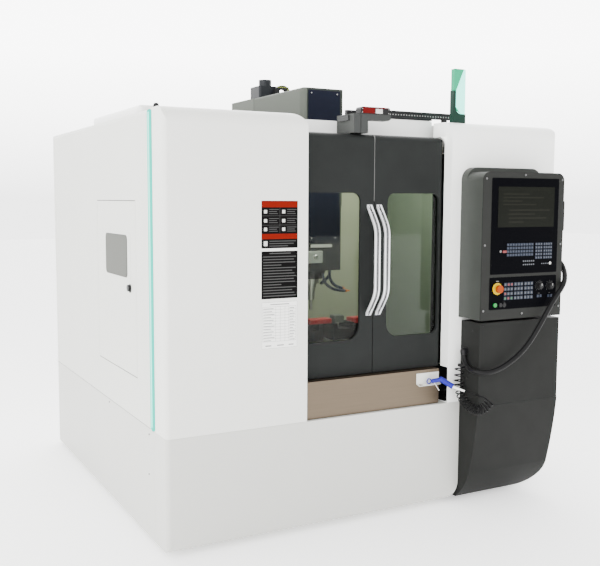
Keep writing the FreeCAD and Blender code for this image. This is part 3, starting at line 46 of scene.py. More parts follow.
# ---- camera, as fitted to the photograph's straight lines -----------------------------
YAW, PITCH, ROLL = (math.radians(a) for a in (28.3077, 5.5556, 0.2593))
look = Vector((math.sin(YAW) * math.cos(PITCH), math.cos(YAW) * math.cos(PITCH),
               -math.sin(PITCH)))
flat = Vector((math.cos(YAW), -math.sin(YAW), 0.0))
lift = flat.cross(look)
right = flat * math.cos(ROLL) + lift * math.sin(ROLL)
upward = lift * math.cos(ROLL) - flat * math.sin(ROLL)
cam_data = bpy.data.cameras.new("camera")
cam_data.lens = 51.52
cam_data.sensor_width = 36.0
cam_data.sensor_fit = "HORIZONTAL"
cam_data.clip_start = 0.05
cam_data.clip_end = 60.0
camera = bpy.data.objects.new("camera", cam_data)
bpy.context.scene.collection.objects.link(camera)
axes = Matrix((right, upward, -look)).transposed().to_4x4()
camera.matrix_world = Matrix.Translation(at(-1225.6, -3499.1, 1599.1)) @ axes
bpy.context.scene.camera = camera


# ---- materials ---------------------------------------------------------------------
def ranged(tree, value, source, target, smooth=False):
    """A socket that carries value mapped from the pair source to the pair target."""
    node = tree.nodes.new("ShaderNodeMapRange")
    if smooth:
        node.interpolation_type = "SMOOTHSTEP"
    node.inputs["From Min"].default_value, node.inputs["From Max"].default_value = source
    node.inputs["To Min"].default_value, node.inputs["To Max"].default_value = target
    tree.links.new(value, node.inputs["Value"])
    return node.outputs["Result"]


def material(name, color, rough=0.5, metal=0.0, coat=0.0, grain=0.0, grain_scale=400.0,
             depth=0.0003, mottle=0.0, mottle_scale=3.0, spread=0.0, stretch=None,
             specular=0.5, emission=None, strength=0.0, transmission=0.0, ior=1.5):
    """A Principled material. grain is a fine bump, mottle a slow change of the colour,
    spread a change of the roughness, and stretch scales the grain along X, Y and Z."""
    m = bpy.data.materials.new(name)
    m.use_nodes = True
    tree = m.node_tree
    shader = tree.nodes["Principled BSDF"]
    sockets = shader.inputs
    sockets["Base Color"].default_value = (*color, 1.0)
    sockets["Roughness"].default_value = rough
    sockets["Metallic"].default_value = metal
    sockets["Coat Weight"].default_value = coat
    sockets["IOR"].default_value = ior
    sockets["Specular IOR Level"].default_value = specular
    sockets["Transmission Weight"].default_value = transmission
    if emission:
        sockets["Emission Color"].default_value = (*emission, 1.0)
        sockets["Emission Strength"].default_value = strength
    if not (grain or mottle or spread):
        return m
    coords = tree.nodes.new("ShaderNodeTexCoord")
    place = coords.outputs["Object"]
    if stretch:
        mapping = tree.nodes.new("ShaderNodeMapping")
        mapping.inputs["Scale"].default_value = stretch
        tree.links.new(place, mapping.inputs["Vector"])
        place = mapping.outputs["Vector"]

    def noise(scale, detail):
        n = tree.nodes.new("ShaderNodeTexNoise")
        n.inputs["Scale"].default_value = scale
        n.inputs["Detail"].default_value = detail
        tree.links.new(place, n.inputs["Vector"])
        return n.outputs["Fac"]

    if grain:
        bump = tree.nodes.new("ShaderNodeBump")
        bump.inputs["Strength"].default_value = grain
        bump.inputs["Distance"].default_value = depth
        tree.links.new(noise(grain_scale, 3.0), bump.inputs["Height"])
        tree.links.new(bump.outputs["Normal"], sockets["Normal"])
    if mottle:
        ramp = tree.nodes.new("ShaderNodeValToRGB")
        ends = ramp.color_ramp.elements
        ends[0].position, ends[1].position = 0.3, 0.7
        ends[0].color = (*(c * (1 - mottle) for c in color), 1.0)
        ends[1].color = (*(min(1.0, c * (1 + mottle)) for c in color), 1.0)
        tree.links.new(noise(mottle_scale, 4.0), ramp.inputs["Fac"])
        tree.links.new(ramp.outputs["Color"], sockets["Base Color"])
    if spread:
        uneven = ranged(tree, noise(grain_scale * 0.4, 2.0), (0.0, 1.0),
                        (rough - spread, rough + spread))
        tree.links.new(uneven, sockets["Roughness"])
    return m


def paint(name, color, **more):
    """Powder-coated sheet steel: a fine orange peel and a slow unevenness."""
    settings = dict(rough=0.42, grain=0.25, grain_scale=650, depth=0.00025, mottle=0.012,
                    mottle_scale=2.5, spread=0.04)
    settings.update(more)
    return material(name, color, **settings)


def texture_paint(name, color, **more):
    """Textured dark enamel: pebbled, and rougher than the white panels."""
    settings = dict(rough=0.55, grain=0.6, grain_scale=1300, depth=0.0004, mottle=0.06,
                    mottle_scale=9.0, spread=0.08, specular=0.2)
    settings.update(more)
    return material(name, color, **settings)


WHITE = paint("white_paint", (0.69, 0.69, 0.655), specular=0.3)
# a lighter copy of the white paint: painted light on the right front cover and the doorway's
# corner piece
RIGHT_WHITE_LIT = paint("right_white_lit_paint", (0.95, 0.955, 0.925))
# a darker copy of the white paint: painted shade on the base skirts
SKIRT_SHADED = paint("skirt_shaded_paint", (0.52, 0.52, 0.49), specular=0.3)
# a darker copy of the white paint: painted shade on the side and rear panels and the small
# white parts that share it
SIDE_SHADED = paint("side_paint", (0.60, 0.605, 0.565), specular=0.2)
# a lighter copy of the white paint: painted light on the roof panels
HATCH_LIT = paint("roof_lit_paint", (0.84, 0.84, 0.82))
BRACKET = paint("bracket_grey", (0.024, 0.026, 0.025), rough=0.5, specular=0.25)
# a lighter copy of the bracket grey: painted light on the bracket post's left face
BRACKET_LIT_FACE = paint("bracket_lit_face", (0.050, 0.053, 0.050), rough=0.6, specular=0.1)
DOOR = texture_paint("door_paint", (0.0125, 0.0137, 0.0132), rough=0.42, grain=0.35,
                     specular=0.07)
CABINET = texture_paint("cabinet_paint", (0.0142, 0.0146, 0.0138), specular=0.05)
# a lighter copy of the pendant's dark paint: painted light on the housing's sides; the front
# plate keeps the darker tone
HOUSING_LIT = texture_paint("pendant_shell_lit", (0.033, 0.036, 0.032), rough=0.42)
PLATE = texture_paint("pendant_plate", (0.0115, 0.012, 0.0108), specular=0.14)
CASTING = texture_paint("casting_paint", (0.12, 0.13, 0.12), grain_scale=240, depth=0.001)
HEAD = texture_paint("head_paint", (0.022, 0.024, 0.026), grain_scale=500)
HEAD_SIDE = paint("head_side_paint", (0.094, 0.102, 0.088), rough=0.62, specular=0.08)
HEAD_FRAME = paint("head_front_paint", (0.036, 0.041, 0.036), rough=0.6, specular=0.1)
COLUMN_TOP = paint("column_top_paint", (0.110, 0.119, 0.103), rough=0.62, specular=0.08)
NAVY = paint("navy_plate", (0.0034, 0.0048, 0.0135), rough=0.42, specular=0.12)
STEEL = material("ground_steel", (0.45, 0.45, 0.44), 0.30, metal=1.0, spread=0.08,
                 grain=0.15, grain_scale=300, stretch=(1, 6, 6))
TABLE = material("table_iron", (0.36, 0.36, 0.34), 0.36, metal=1.0, spread=0.10,
                 mottle=0.08, mottle_scale=14, grain=0.2, grain_scale=220, stretch=(1, 9, 9))
APRON = material("stainless", (0.112, 0.086, 0.060), 0.36, metal=0.85, spread=0.06,
                 grain=0.10, grain_scale=160, mottle=0.04, mottle_scale=4,
                 stretch=(1, 14, 40))
INNER = paint("chamber_paint", (0.40, 0.43, 0.33), mottle=0.03)
BLACK = material("black_plastic", (0.007, 0.007, 0.0075), 0.42, grain=0.3, grain_scale=1500,
                 specular=0.2)
RUBBER = material("black_rubber", (0.0036, 0.0036, 0.0038), 0.46, grain=0.5, grain_scale=700,
                  depth=0.0003, specular=0.14)
HOSE = material("hose_black", (0.0022, 0.0022, 0.0026), 0.34, specular=0.12, spread=0.06,
                grain_scale=500)
MOTOR = material("motor_black", (0.010, 0.0115, 0.014), 0.45, specular=0.2, grain=0.4,
                 grain_scale=700, spread=0.08)
CHROME = material("chrome", (0.82, 0.82, 0.80), 0.16, metal=1.0, spread=0.05,
                  grain_scale=900)
SILVER = material("handle_silver", (0.88, 0.89, 0.91), 0.30, metal=0.55, spread=0.05,
                  grain=0.12, grain_scale=180, stretch=(18, 18, 1))
GLASS = material("window_glass", (0.62, 0.65, 0.56), 0.02, transmission=1.0, ior=1.18)
# a darker copy of the window glass: painted shade in the right door's pane
GLASS_RIGHT_SHADED = material("window_glass_right_shaded", (0.28, 0.33, 0.295), 0.02, transmission=1.0,
                       ior=1.25)
SMOKED = material("access_glass", (0.105, 0.107, 0.097), 0.40, spread=0.03, grain_scale=40,
                  specular=0.01)
LIGHT = material("light_strip", (0.0, 0.22, 0.18), 0.6, emission=(0.0, 0.86, 0.64),
                 strength=0.85, specular=0.03, spread=0.05, grain_scale=30)
LIGHT_CORE = material("light_core", (0.10, 0.50, 0.40), 0.5, emission=(0.30, 1.0, 0.82),
                      strength=1.7, specular=0.03, spread=0.05, grain_scale=30)
# the lamp's glow in a paler, brighter copy: real lamp light plus a painted highlight on the
# lens's right part
LENS_GLOW_AND_HIGHLIGHT = material("lamp_lens_glow_and_highlight", (0.20, 0.80, 0.66), 0.18, emission=(0.22, 1.0, 0.80),
                strength=1.6, coat=0.2, spread=0.05, grain_scale=30)
LAMP_GLOW = material("lamp_glow", (0.002, 0.20, 0.10), 0.25, emission=(0.0, 0.34, 0.16),
                     strength=0.8, specular=0.2, spread=0.05, grain_scale=30)
LAMP_BASE = material("lamp_base", (0.0012, 0.020, 0.012), 0.4, spread=0.05, specular=0.2)
FILM = material("panel_film", (0.0006, 0.0007, 0.0014), 0.5, spread=0.04,
                grain=0.08, grain_scale=900, specular=0.02)
SCREEN = material("screen_glass", (0.0060, 0.0067, 0.0050), 0.20, spread=0.03,
                  grain_scale=20, specular=0.05)
SCREEN_TEXT = material("screen_rows", (0.0086, 0.0089, 0.0062), 0.2, spread=0.03,
                       specular=0.10)
KEY = material("key_blue_grey", (0.015, 0.021, 0.036), 0.42, specular=0.25, spread=0.05,
               grain=0.1, grain_scale=900)
KEY_MARK = material("key_mark", (0.050, 0.055, 0.064), 0.5, spread=0.05)
KEY_MARK_BLUE = material("key_mark_blue", (0.025, 0.034, 0.053), 0.5, spread=0.05)
KEY_RED = material("key_red", (0.16, 0.013, 0.012), 0.42, spread=0.05)
KEY_GREEN = material("key_green", (0.018, 0.10, 0.032), 0.42, spread=0.05)
PRINT = material("print_white", (0.52, 0.52, 0.50), 0.5, spread=0.05)
PRINT_GREY = material("print_grey", (0.018, 0.018, 0.0175), 0.5, spread=0.05)
PRINT_LINE = material("print_line", (0.12, 0.12, 0.117), 0.5, spread=0.05)
LABEL_BLACK = material("label_black", (0.0036, 0.0034, 0.0034), 0.5, spread=0.05,
                       specular=0.02)
LABEL_WHITE = material("label_white", (0.84, 0.84, 0.81), 0.40, spread=0.05)
LABEL_RED = material("label_red", (0.13, 0.005, 0.0015), 0.45, spread=0.05, specular=0.04)
YELLOW = material("yellow", (0.50, 0.33, 0.001), 0.4, spread=0.05, specular=0.1)
RED = material("red", (0.085, 0.0018, 0.002), 0.4, spread=0.05, specular=0.08)
FIXTURE_RED = material("fixture_red", (0.40, 0.018, 0.018), 0.4, spread=0.08, grain=0.2)
ORANGE = material("stop_orange", (0.25, 0.036, 0.0005), 0.38, spread=0.05, specular=0.12)
GREEN = material("green", (0.003, 0.15, 0.022), 0.3, emission=(0.003, 0.22, 0.03),
                 strength=0.35, spread=0.05)
BLUE = material("gun_blue", (0.0085, 0.0085, 0.23), 0.38, spread=0.06, grain=0.1,
                specular=0.25)
NOZZLE = material("hose_segment", (0.012, 0.020, 0.050), 0.35, spread=0.06)
NOZZLE_TIP = material("hose_tip", (0.70, 0.20, 0.02), 0.35, spread=0.06)
ALUMINIUM = material("aluminium", (0.62, 0.62, 0.61), 0.35, metal=1.0, spread=0.08,
                     grain=0.2, grain_scale=260, stretch=(1, 8, 8))
LEAF = material("chain_green", (0.30, 0.36, 0.04), 0.45, spread=0.06)
# a light grey strip colour: painted highlight along the doors' meeting edge
MEETING_HIGHLIGHT = material("meeting_edge_highlight", (0.16, 0.16, 0.155), 0.4, spread=0.05)
SEAM_DARK = material("seam_dark", (0.030, 0.031, 0.028), 0.6, spread=0.05)
CLAMP = material("clamp_black", (0.0035, 0.0036, 0.0036), 0.5, spread=0.08, specular=0.08)
DUCT_DOT = material("duct_dot", (0.26, 0.26, 0.25), 0.5, spread=0.05)
FLOOR = material("floor", (0.95, 0.95, 0.945), 0.85, specular=0.1, mottle=0.003,
                 emission=(1.0, 1.0, 1.0), strength=0.8)
SCREW_STEEL = material("screw_steel", (0.16, 0.16, 0.16), 0.42, metal=1.0, spread=0.06)

finish = {
    "base_skirts": SKIRT_SHADED, "left_front_cover": WHITE, "right_front_cover": RIGHT_WHITE_LIT,
    "side_and_rear_panels": SIDE_SHADED, "roof_panels": HATCH_LIT, "chamber_guards": INNER,
    "apron": APRON, "light_strip": LIGHT, "roof_fittings": BLACK,
    "tower_light_lens": LENS_GLOW_AND_HIGHLIGHT, "electrical_cabinet": CABINET, "line_fittings": BLACK,
    "pendant_housing": HOUSING_LIT, "pendant_screws": SCREW_STEEL, "pendant_overlays": FILM,
    "screen": SCREEN, "membrane_keys": KEY, "air_hose_coil": HOSE, "air_hose_tail": HOSE,
    "air_gun": BLUE, "gun_connector": CHROME, "gun_trigger": CHROME,
    "pendant_cable": RUBBER, "bed_casting": CASTING, "column_casting": CASTING,
    "saddle_casting": CASTING, "head_casting": HEAD, "table": TABLE,
    "fixture_blocks": CLAMP, "levelling_feet": BLACK, "brackets": BRACKET,
    "rails_and_screws": STEEL, "saddle_guides": STEEL, "axis_motors": MOTOR,
    "spindle_motor": MOTOR, "head_cover": HEAD_SIDE, "head_plate": NAVY,
    "coolant_nozzles": NOZZLE, "spindle": STEEL, "tool_holder": STEEL,
    "magazine_bracket": CASTING, "magazine_carriage": CASTING, "magazine_drum": ALUMINIUM,
    "access_door": SIDE_SHADED, "access_door_pane": SMOKED, "access_knob": BLACK,
    "rear_door": SIDE_SHADED, "left_door_panel": DOOR, "right_door_panel": DOOR,
    "left_door_pane": GLASS, "right_door_pane": GLASS_RIGHT_SHADED, "left_door_handle": SILVER,
    "right_door_handle": SILVER, "start_button": GREEN, "hold_button": BLACK,
    "cycle_button": BLACK, "feed_knob": BLACK, "speed_knob": BLACK, "handwheel": BLACK,
    "stop_button": ORANGE,
}
for name, solid in nodes.items():
    solid.data.materials.clear()
    solid.data.materials.append(finish[name])


def region(node, mat, lo, hi):
    """Faces of a CAD node whose middle lies between two modelling-frame points."""
    mesh = nodes[node].data
    mesh.materials.append(mat)
    index = len(mesh.materials) - 1
    low, high = at(*lo), at(*hi)
    for poly in mesh.polygons:
        c = poly.center
        if all(low[k] <= c[k] <= high[k] for k in range(3)):
            poly.material_index = index


region("pendant_overlays", YELLOW, (1660, -190, 1118), (1732, -174.1, 1190))
region("pendant_housing", PLATE, (1590, -173, 990), (2140, -167.5, 1750))
region("pendant_housing", BLACK, (2137, -150, 1430), (2175, -50, 1600))
region("roof_fittings", LAMP_BASE, (1578, 40, 1990), (1662, 110, 2160))
# the lens's left part keeps the green glow of the lit lamp; the rest carries the paler painted
# highlight
region("tower_light_lens", LAMP_GLOW, (1578, 40, 2010), (1612, 110, 2275))
# the bracket post's left face gets the painted-light copy of the bracket grey
region("brackets", BRACKET_LIT_FACE, (980, 59, 1915), (983, 222, 2014))
region("brackets", SIDE_SHADED, (1340, -10, 640), (1530, 160, 720))
region("head_cover", HEAD_FRAME, (1000, 575.5, 1562), (1240, 577, 2194))
region("roof_panels", COLUMN_TOP, (970, 1181, 1870), (1240, 1512, 2195))
HANDLES = (("left", 1080.5), ("right", 1136.5))      # each handle's side and its middle in X
GROOVE_SHIFT, GROOVE_HALF = 6.0, 2.6                 # the two dark grooves of a handle
for side, middle in HANDLES:
    for groove in (middle - GROOVE_SHIFT, middle + GROOVE_SHIFT):
        region(side + "_door_handle", BLACK, (groove - GROOVE_HALF, -20, 1000),
               (groove + GROOVE_HALF, 80, 1600))


# ---- fine detail -------------------------------------------------------------------
def piece(name, verts, faces, mats, slots=None, body="machine", smooth=False):
    """A mesh piece from modelling-frame points, riding on a body."""
    mesh = bpy.data.meshes.new(name)
    mesh.from_pydata([at(*v) for v in verts], [], faces)
    for m in mats:
        mesh.materials.append(m)
    for k, poly in enumerate(mesh.polygons):
        poly.material_index = slots[k] if slots else 0
        poly.use_smooth = smooth
    mesh.update()
    o = bpy.data.objects.new(name, mesh)
    bpy.context.scene.collection.objects.link(o)
    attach(o, body)
    return o


def rounded(x0, x1, z0, z1, r, steps=6):
    """The outline of a rounded rectangle in X and Z, counter-clockwise from -Y."""
    points = []
    for cx, cz, start in ((x1 - r, z0 + r, -90), (x1 - r, z1 - r, 0), (x0 + r, z1 - r, 90),
                          (x0 + r, z0 + r, 180)):
        for k in range(steps + 1):
            a = math.radians(start + 90 * k / steps)
            points.append((cx + r * math.cos(a), cz + r * math.sin(a)))
    return points


FIELD_LIFT = 0.12      # how far a colour field lies before its plate
RIM = 0.6              # widest chamfer of a thin plate


def badge(name, rect, y, thick, r, mats, fields=(), body="machine"):
    """A thin plate facing -Y with a chamfered rim, and flat colour fields on it."""
    x0, x1, z0, z1 = rect
    verts, faces, slots = [], [], []
    rim = min(thick * 0.6, RIM)
    rings = [(rounded(x0, x1, z0, z1, r), y),
             (rounded(x0, x1, z0, z1, r), y - thick + rim),
             (rounded(x0 + rim, x1 - rim, z0 + rim, z1 - rim, r), y - thick)]
    n = len(rings[0][0])
    for outline, depth in rings:
        verts += [(x, depth, z) for x, z in outline]
    for ring in range(2):
        for k in range(n):
            a, b = ring * n + k, ring * n + (k + 1) % n
            faces.append((a, b, b + n, a + n))
            slots.append(0)
    faces.append(tuple(range(2 * n, 3 * n)))
    slots.append(0)
    front = y - thick - FIELD_LIFT
    for fx0, fx1, fz0, fz1, which in fields:
        base = len(verts)
        verts += [(fx0, front, fz0), (fx1, front, fz0), (fx1, front, fz1), (fx0, front, fz1)]
        faces.append((base, base + 1, base + 2, base + 3))
        slots.append(which)
    return piece(name, verts, faces, mats, slots, body)


def closed(o):
    """Turn the normals of a closed piece outward."""
    shape = bmesh.new()
    shape.from_mesh(o.data)
    bmesh.ops.recalc_face_normals(shape, faces=shape.faces[:])
    shape.to_mesh(o.data)
    shape.free()
    return o


def loft(name, rings, mats, body="machine", smooth=False):
    """A closed piece through rings of equally many points, with its two ends capped."""
    n = len(rings[0])
    verts = [v for ring in rings for v in ring]
    faces = [(i * n + k, i * n + (k + 1) % n, (i + 1) * n + (k + 1) % n, (i + 1) * n + k)
             for i in range(len(rings) - 1) for k in range(n)]
    faces += [tuple(range(n)), tuple(range((len(rings) - 1) * n, len(rings) * n))]
    return closed(piece(name, verts, faces, mats, body=body, smooth=smooth))


def side_plate(name, rect, x, thick, r, mat, body):
    """A thin plate facing -X with a chamfered rim; rect is (y0, y1, z0, z1)."""
    y0, y1, z0, z1 = rect
    outer = rounded(y0, y1, z0, z1, r)
    inner = rounded(y0 + RIM, y1 - RIM, z0 + RIM, z1 - RIM, r)
    front = x - thick
    rings = [[(x, y, z) for y, z in outer], [(front + 0.5, y, z) for y, z in outer],
             [(front, y, z) for y, z in inner]]
    return loft(name, rings, [mat], body)


def soft_blocks(name, boxes, mat, edge=0.8, body="machine"):
    """Small blocks with bevelled edges in one mesh; each is (x0, x1, y0, y1, z0, z1)."""
    mesh = bpy.data.meshes.new(name)
    shape = bmesh.new()
    for x0, x1, y0, y1, z0, z1 in boxes:
        size = Matrix.Diagonal(((x1 - x0) / 1000, (y1 - y0) / 1000, (z1 - z0) / 1000, 1.0))
        middle = at((x0 + x1) / 2, (y0 + y1) / 2, (z0 + z1) / 2)
        bmesh.ops.create_cube(shape, size=1.0, matrix=Matrix.Translation(middle) @ size)
    bmesh.ops.bevel(shape, geom=shape.edges[:], offset=edge / 1000, segments=2,
                    affect="EDGES", profile=0.5)
    shape.to_mesh(mesh)
    shape.free()
    mesh.materials.append(mat)
    o = bpy.data.objects.new(name, mesh)
    bpy.context.scene.collection.objects.link(o)
    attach(o, body)
    return o


def turned(name, profile, centre, axis, mat, sides=32, body="machine"):
    """A turned piece: profile is (distance along axis, radius) pairs from centre."""
    axis = Vector(axis).normalized()
    side = axis.orthogonal().normalized()
    other = axis.cross(side)
    verts, faces = [], []
    for along, r in profile:
        for k in range(sides):
            a = 2 * math.pi * k / sides
            p = Vector(centre) + axis * along + (side * math.cos(a) + other * math.sin(a)) * r
            verts.append(tuple(p))
    for i in range(len(profile) - 1):
        for k in range(sides):
            a, b = i * sides + k, i * sides + (k + 1) % sides
            faces.append((a, b, b + sides, a + sides))
    faces.append(tuple(range(sides - 1, -1, -1)))
    last = (len(profile) - 1) * sides
    faces.append(tuple(range(last, last + sides)))
    o = piece(name, verts, faces, [mat], body=body, smooth=True)
    o.data.set_sharp_from_angle(angle=math.radians(35))
    return o


def screw(name, centre, axis, r, mat, body="machine"):
    """A button-head screw with a socket, standing on centre and facing along axis."""
    return turned(name, [(0.0, r), (r * 0.28, r * 0.97), (r * 0.55, r * 0.78),
                         (r * 0.68, r * 0.48), (r * 0.25, r * 0.42)], centre, axis, mat,
                  sides=20, body=body)


# ---- colour plates on the left front cover ------------------------------------------
PLATE_Y, PLATE_T, PLATE_R = -0.05, 0.5, 3.0          # back, thickness and corner of each plate
LINE_PITCH = 13.4                                    # lines of the lowest plate


def rows(x0, x1, z_top, z_low, count, which, fill):
    """Plain bars of changing length, as on a printed plate."""
    out = []
    pitch = (z_top - z_low) / count
    for k in range(count):
        share = fill[k % len(fill)]
        z = z_top - pitch * (k + 0.5)
        out.append((x0, x0 + (x1 - x0) * share, z - pitch * 0.17, z + pitch * 0.17, which))
    return out


top_fields = [(462, 644, 1563, 1591, 1), (462, 644, 1419, 1443, 1)]
for x0 in (464, 556):
    for z0 in (1527, 1486, 1447):
        top_fields.append((x0 + 9, x0 + 24, z0 + 9, z0 + 24, 3))
        top_fields += rows(x0 + 34, x0 + 84, z0 + 31, z0 + 3, 3, 2, (1.0, 0.8, 0.9))
top_fields.append((552.5, 554, 1447, 1561, 2))
top_fields += [(464, 642, 1524, 1525.4, 2), (464, 642, 1482, 1483.4, 2)]
top_fields.append((472, 490, 1388, 1410, 3))
top_fields += rows(500, 636, 1415, 1382, 3, 2, (1.0, 0.92, 0.7))
badge("cover_plate_top", (460, 646, 1377, 1593), PLATE_Y, PLATE_T, PLATE_R,
      [LABEL_BLACK, LABEL_RED, PRINT_GREY, PRINT], top_fields)
middle_fields = [(500, 610, 1351, 1356, 1)]
middle_fields += rows(468, 638, 1345, 1152, 15, 1, (1.0, 0.93, 0.97, 0.55, 0.99, 0.88, 0.95))
badge("cover_plate_middle", (460, 646, 1145, 1364), PLATE_Y, PLATE_T, PLATE_R,
      [LABEL_BLACK, PRINT_GREY], middle_fields)
low_fields = [(505, 602, 1117, 1121, 1), (461, 645, 1129.6, 1131, 1), (461, 645, 915, 916.4, 1),
              (461, 462.4, 915, 1131, 1), (643.6, 645, 915, 1131, 1)]
for k in range(13):
    low_fields.append((466, 638, 1108 - k * LINE_PITCH, 1109.1 - k * LINE_PITCH, 1))
for x in (466, 532, 556, 580, 600, 637.3):
    low_fields.append((x, x + 1.1, 947.2, 1109.1, 1))
for k in range(12):
    z = 1100 - k * LINE_PITCH
    low_fields.append((470, 470 + (52, 44, 56, 38)[k % 4], z - 1.6, z + 1.6, 1))
    low_fields.append((605, 605 + (24, 18, 27)[k % 3], z - 1.6, z + 1.6, 1))
low_fields += [(480, 510, 926, 931, 1), (540, 575, 926, 931, 1), (600, 626, 926, 931, 1)]
badge("cover_plate_low", (459, 647, 913, 1133), PLATE_Y, PLATE_T, PLATE_R,
      [LABEL_WHITE, PRINT_LINE], low_fields)

# ---- head: corner screws, a strip and a port on its plate ----------------------------
HEAD_FRONT = 575.8      # front of the head's plate
PORT_FACE = 572.8       # front of the port's own plate
for k, (x, z) in enumerate(((1031, 2166), (1190, 2166), (1036, 1390), (1184, 1390))):
    screw("head_screw_%d" % k, (x, 570, z), (0, -1, 0), 4.2, STEEL, "spindle_head")
badge("head_strip", (1034, 1168, 1339, 1356), HEAD_FRONT, 1.2, 2.0, [PRINT],
      body="spindle_head")
badge("head_port_plate", (1016, 1108, 1254, 1320), HEAD_FRONT, 3.0, 4.0, [ALUMINIUM],
      body="spindle_head")
turned("head_port", [(0, 13), (6, 13), (8, 11), (8, 6), (3, 5)], (1064, PORT_FACE, 1287),
       (0, -1, 0), STEEL, body="spindle_head")
for k, (x, z) in enumerate(((1024, 1312), (1100, 1312), (1024, 1262), (1100, 1262))):
    screw("head_port_screw_%d" % k, (x, PORT_FACE, z), (0, -1, 0), 3.0, STEEL,
          "spindle_head")


# ---- cords -------------------------------------------------------------------------
def cord_curve(name, points, radius, mat):
    """A NURBS spline with the route's points, in modelling millimetres, as control points."""
    data = bpy.data.curves.new(name, "CURVE")
    data.dimensions = "3D"
    data.resolution_u = 6
    data.bevel_depth = radius / 1000
    data.bevel_resolution = 4
    spline = data.splines.new("NURBS")
    spline.points.add(len(points) - 1)
    for spot, p in zip(spline.points, points):
        spot.co = (*at(*p), 1.0)
    spline.order_u = 3
    spline.use_endpoint_u = True
    data.materials.append(mat)
    o = bpy.data.objects.new(name, data)
    bpy.context.scene.collection.objects.link(o)
    return o


CABLE = [(2136, -96, 1292), (2177, -96, 1292), (2199, -122, 1245), (2168, -168, 1200),
         (2128, -196, 1155), (2067, -205, 1100), (2016, -207, 1036), (1962, -206, 956),
         (1900, -202, 871), (1838, -197, 812), (1776, -193, 773), (1708, -189, 742),
         (1640, -187, 730), (1592, -160, 733), (1582, -112, 742), (1588, -66, 770),
         (1590, -54, 806)]
CABLE_R, AIR_HOSE_R = 13.5, 3.2
cable = cord_curve("control_cable", CABLE, CABLE_R, RUBBER)
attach(cable, "machine")
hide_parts("pendant_cable")
turned("cable_gland", [(0, 21), (7, 21), (8, 19), (9, 17.5), (17, 17), (22, 15.4),
                       (26, 14.2)], (2136.2, -96, 1292), (1, 0, 0), BLACK, 24)

# the coiled air hose: its turns are points of the cord's own spline
COIL_AXIS = [(1581, -34, 740), (1574, -34, 675), (1575, -46, 607), (1570, -110, 554),
             (1586, -172, 536), (1612, -206, 556), (1632, -214, 588)]
COIL_R, COIL_TURNS, PER_TURN = 22.0, 18.75, 12
COIL_START = (1587.34, -56.0, 740.87)
TAIL = [(1629, -181, 603), (1608, -172, 610), (1602, -138, 612), (1588, -109, 619),
        (1567, -95, 628)]


def axis_point(share):
    """A point and direction on the quadratic B-spline of the coil's axis."""
    spans = len(COIL_AXIS) - 2
    knots = [0, 0] + list(range(spans + 1)) + [spans, spans]
    u = min(share * spans, spans - 1e-9)
    k = int(u) + 2
    d = [Vector(COIL_AXIS[j + k - 2]) for j in range(3)]

    def blend(j, level):
        low, high = knots[j + k - 2], knots[j + 1 + k - level]
        t = (u - low) / (high - low)
        return d[j - 1] * (1 - t) + d[j] * t

    d[1], d[2] = blend(1, 1), blend(2, 1)
    return blend(2, 2), (d[2] - d[1]).normalized()


coil_points = []
steps = round(COIL_TURNS * PER_TURN)
around = Vector((0, -1, 0))
# radius of the control points: a quadratic spline runs inside them, at COIL_R
reach = COIL_R / (0.75 + 0.25 * math.cos(2 * math.pi / PER_TURN))
for k in range(steps + 1):
    centre, along = axis_point(k / steps)
    around = (around - along * around.dot(along)).normalized()
    over = along.cross(around)
    angle = 2 * math.pi * k / PER_TURN
    coil_points.append(centre + (around * math.cos(angle) + over * math.sin(angle)) * reach)
hose = cord_curve("air_hose", [COIL_START] + coil_points[1:] + [Vector(p) for p in TAIL],
                  AIR_HOSE_R, HOSE)
hose.data.resolution_u = 3
hose.data.bevel_resolution = 2
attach(hose, "machine")
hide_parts("air_hose_coil", "air_hose_tail")


# ---- two segmented coolant hoses beside the plain tubes of the CAD model --------------
LINK_R, LINKS = 9.0, 14
HOSE_LINES = (((1118, 590, 1196), (1120, 586, 1092), (1296, 604, 1090)),
              ((1162, 594, 1206), (1158, 590, 1116), (1274, 612, 1104)))


def segments(name, start, bend, end):
    """Ball-jointed hose on a quadratic curve: flared turned links and a tapered tip."""
    a, b, c = Vector(start), Vector(bend), Vector(end)
    for k in range(LINKS):
        t0, t1 = k / LINKS, (k + 1) / LINKS
        p0 = a * (1 - t0) ** 2 + b * 2 * t0 * (1 - t0) + c * t0 ** 2
        p1 = a * (1 - t1) ** 2 + b * 2 * t1 * (1 - t1) + c * t1 ** 2
        run = (p1 - p0).length
        shape = [(0, LINK_R * 0.72), (run * 0.2, LINK_R), (run * 0.6, LINK_R * 0.97),
                 (run * 0.85, LINK_R * 0.74), (run * 1.02, LINK_R * 0.70)]
        mat = NOZZLE
        if k == LINKS - 1:
            shape = [(0, LINK_R * 0.95), (run * 0.3, LINK_R * 0.9), (run * 0.7, LINK_R * 0.55),
                     (run * 1.15, LINK_R * 0.42)]
            mat = NOZZLE_TIP
        turned("%s_%d" % (name, k), shape, p0, p1 - p0, mat, 20, "spindle_head")


for k, line in enumerate(HOSE_LINES):
    segments("coolant_hose_%d" % k, *line)

# ---- vice jaws and fixture on the table, then a sill pad, dark sheets of painted shade and a corner round the doorway ------
JAW_SEAT = 922.2
soft_blocks("red_jaw", [(1012, 1148, 536, 600, JAW_SEAT, 949)], FIXTURE_RED, 3.0, "work_table")
soft_blocks("grey_jaw", [(1172, 1232, 546, 606, JAW_SEAT, 962)], CASTING, 3.0, "work_table")
soft_blocks("fixture_base", [(1330, 1398, 548, 600, 830.3, 914)], CLAMP, 2.0, "work_table")
soft_blocks("fixture_bar", [(1280, 1404, 534, 604, 914.3, 944)], FIXTURE_RED, 3.0, "work_table")
# a black sheet in the gap beside the apron's right end: painted shade
soft_blocks("gap_shade_sheet", [(1491.5, 1530.2, 146, 149, 553, 731)], RUBBER, 0.8)
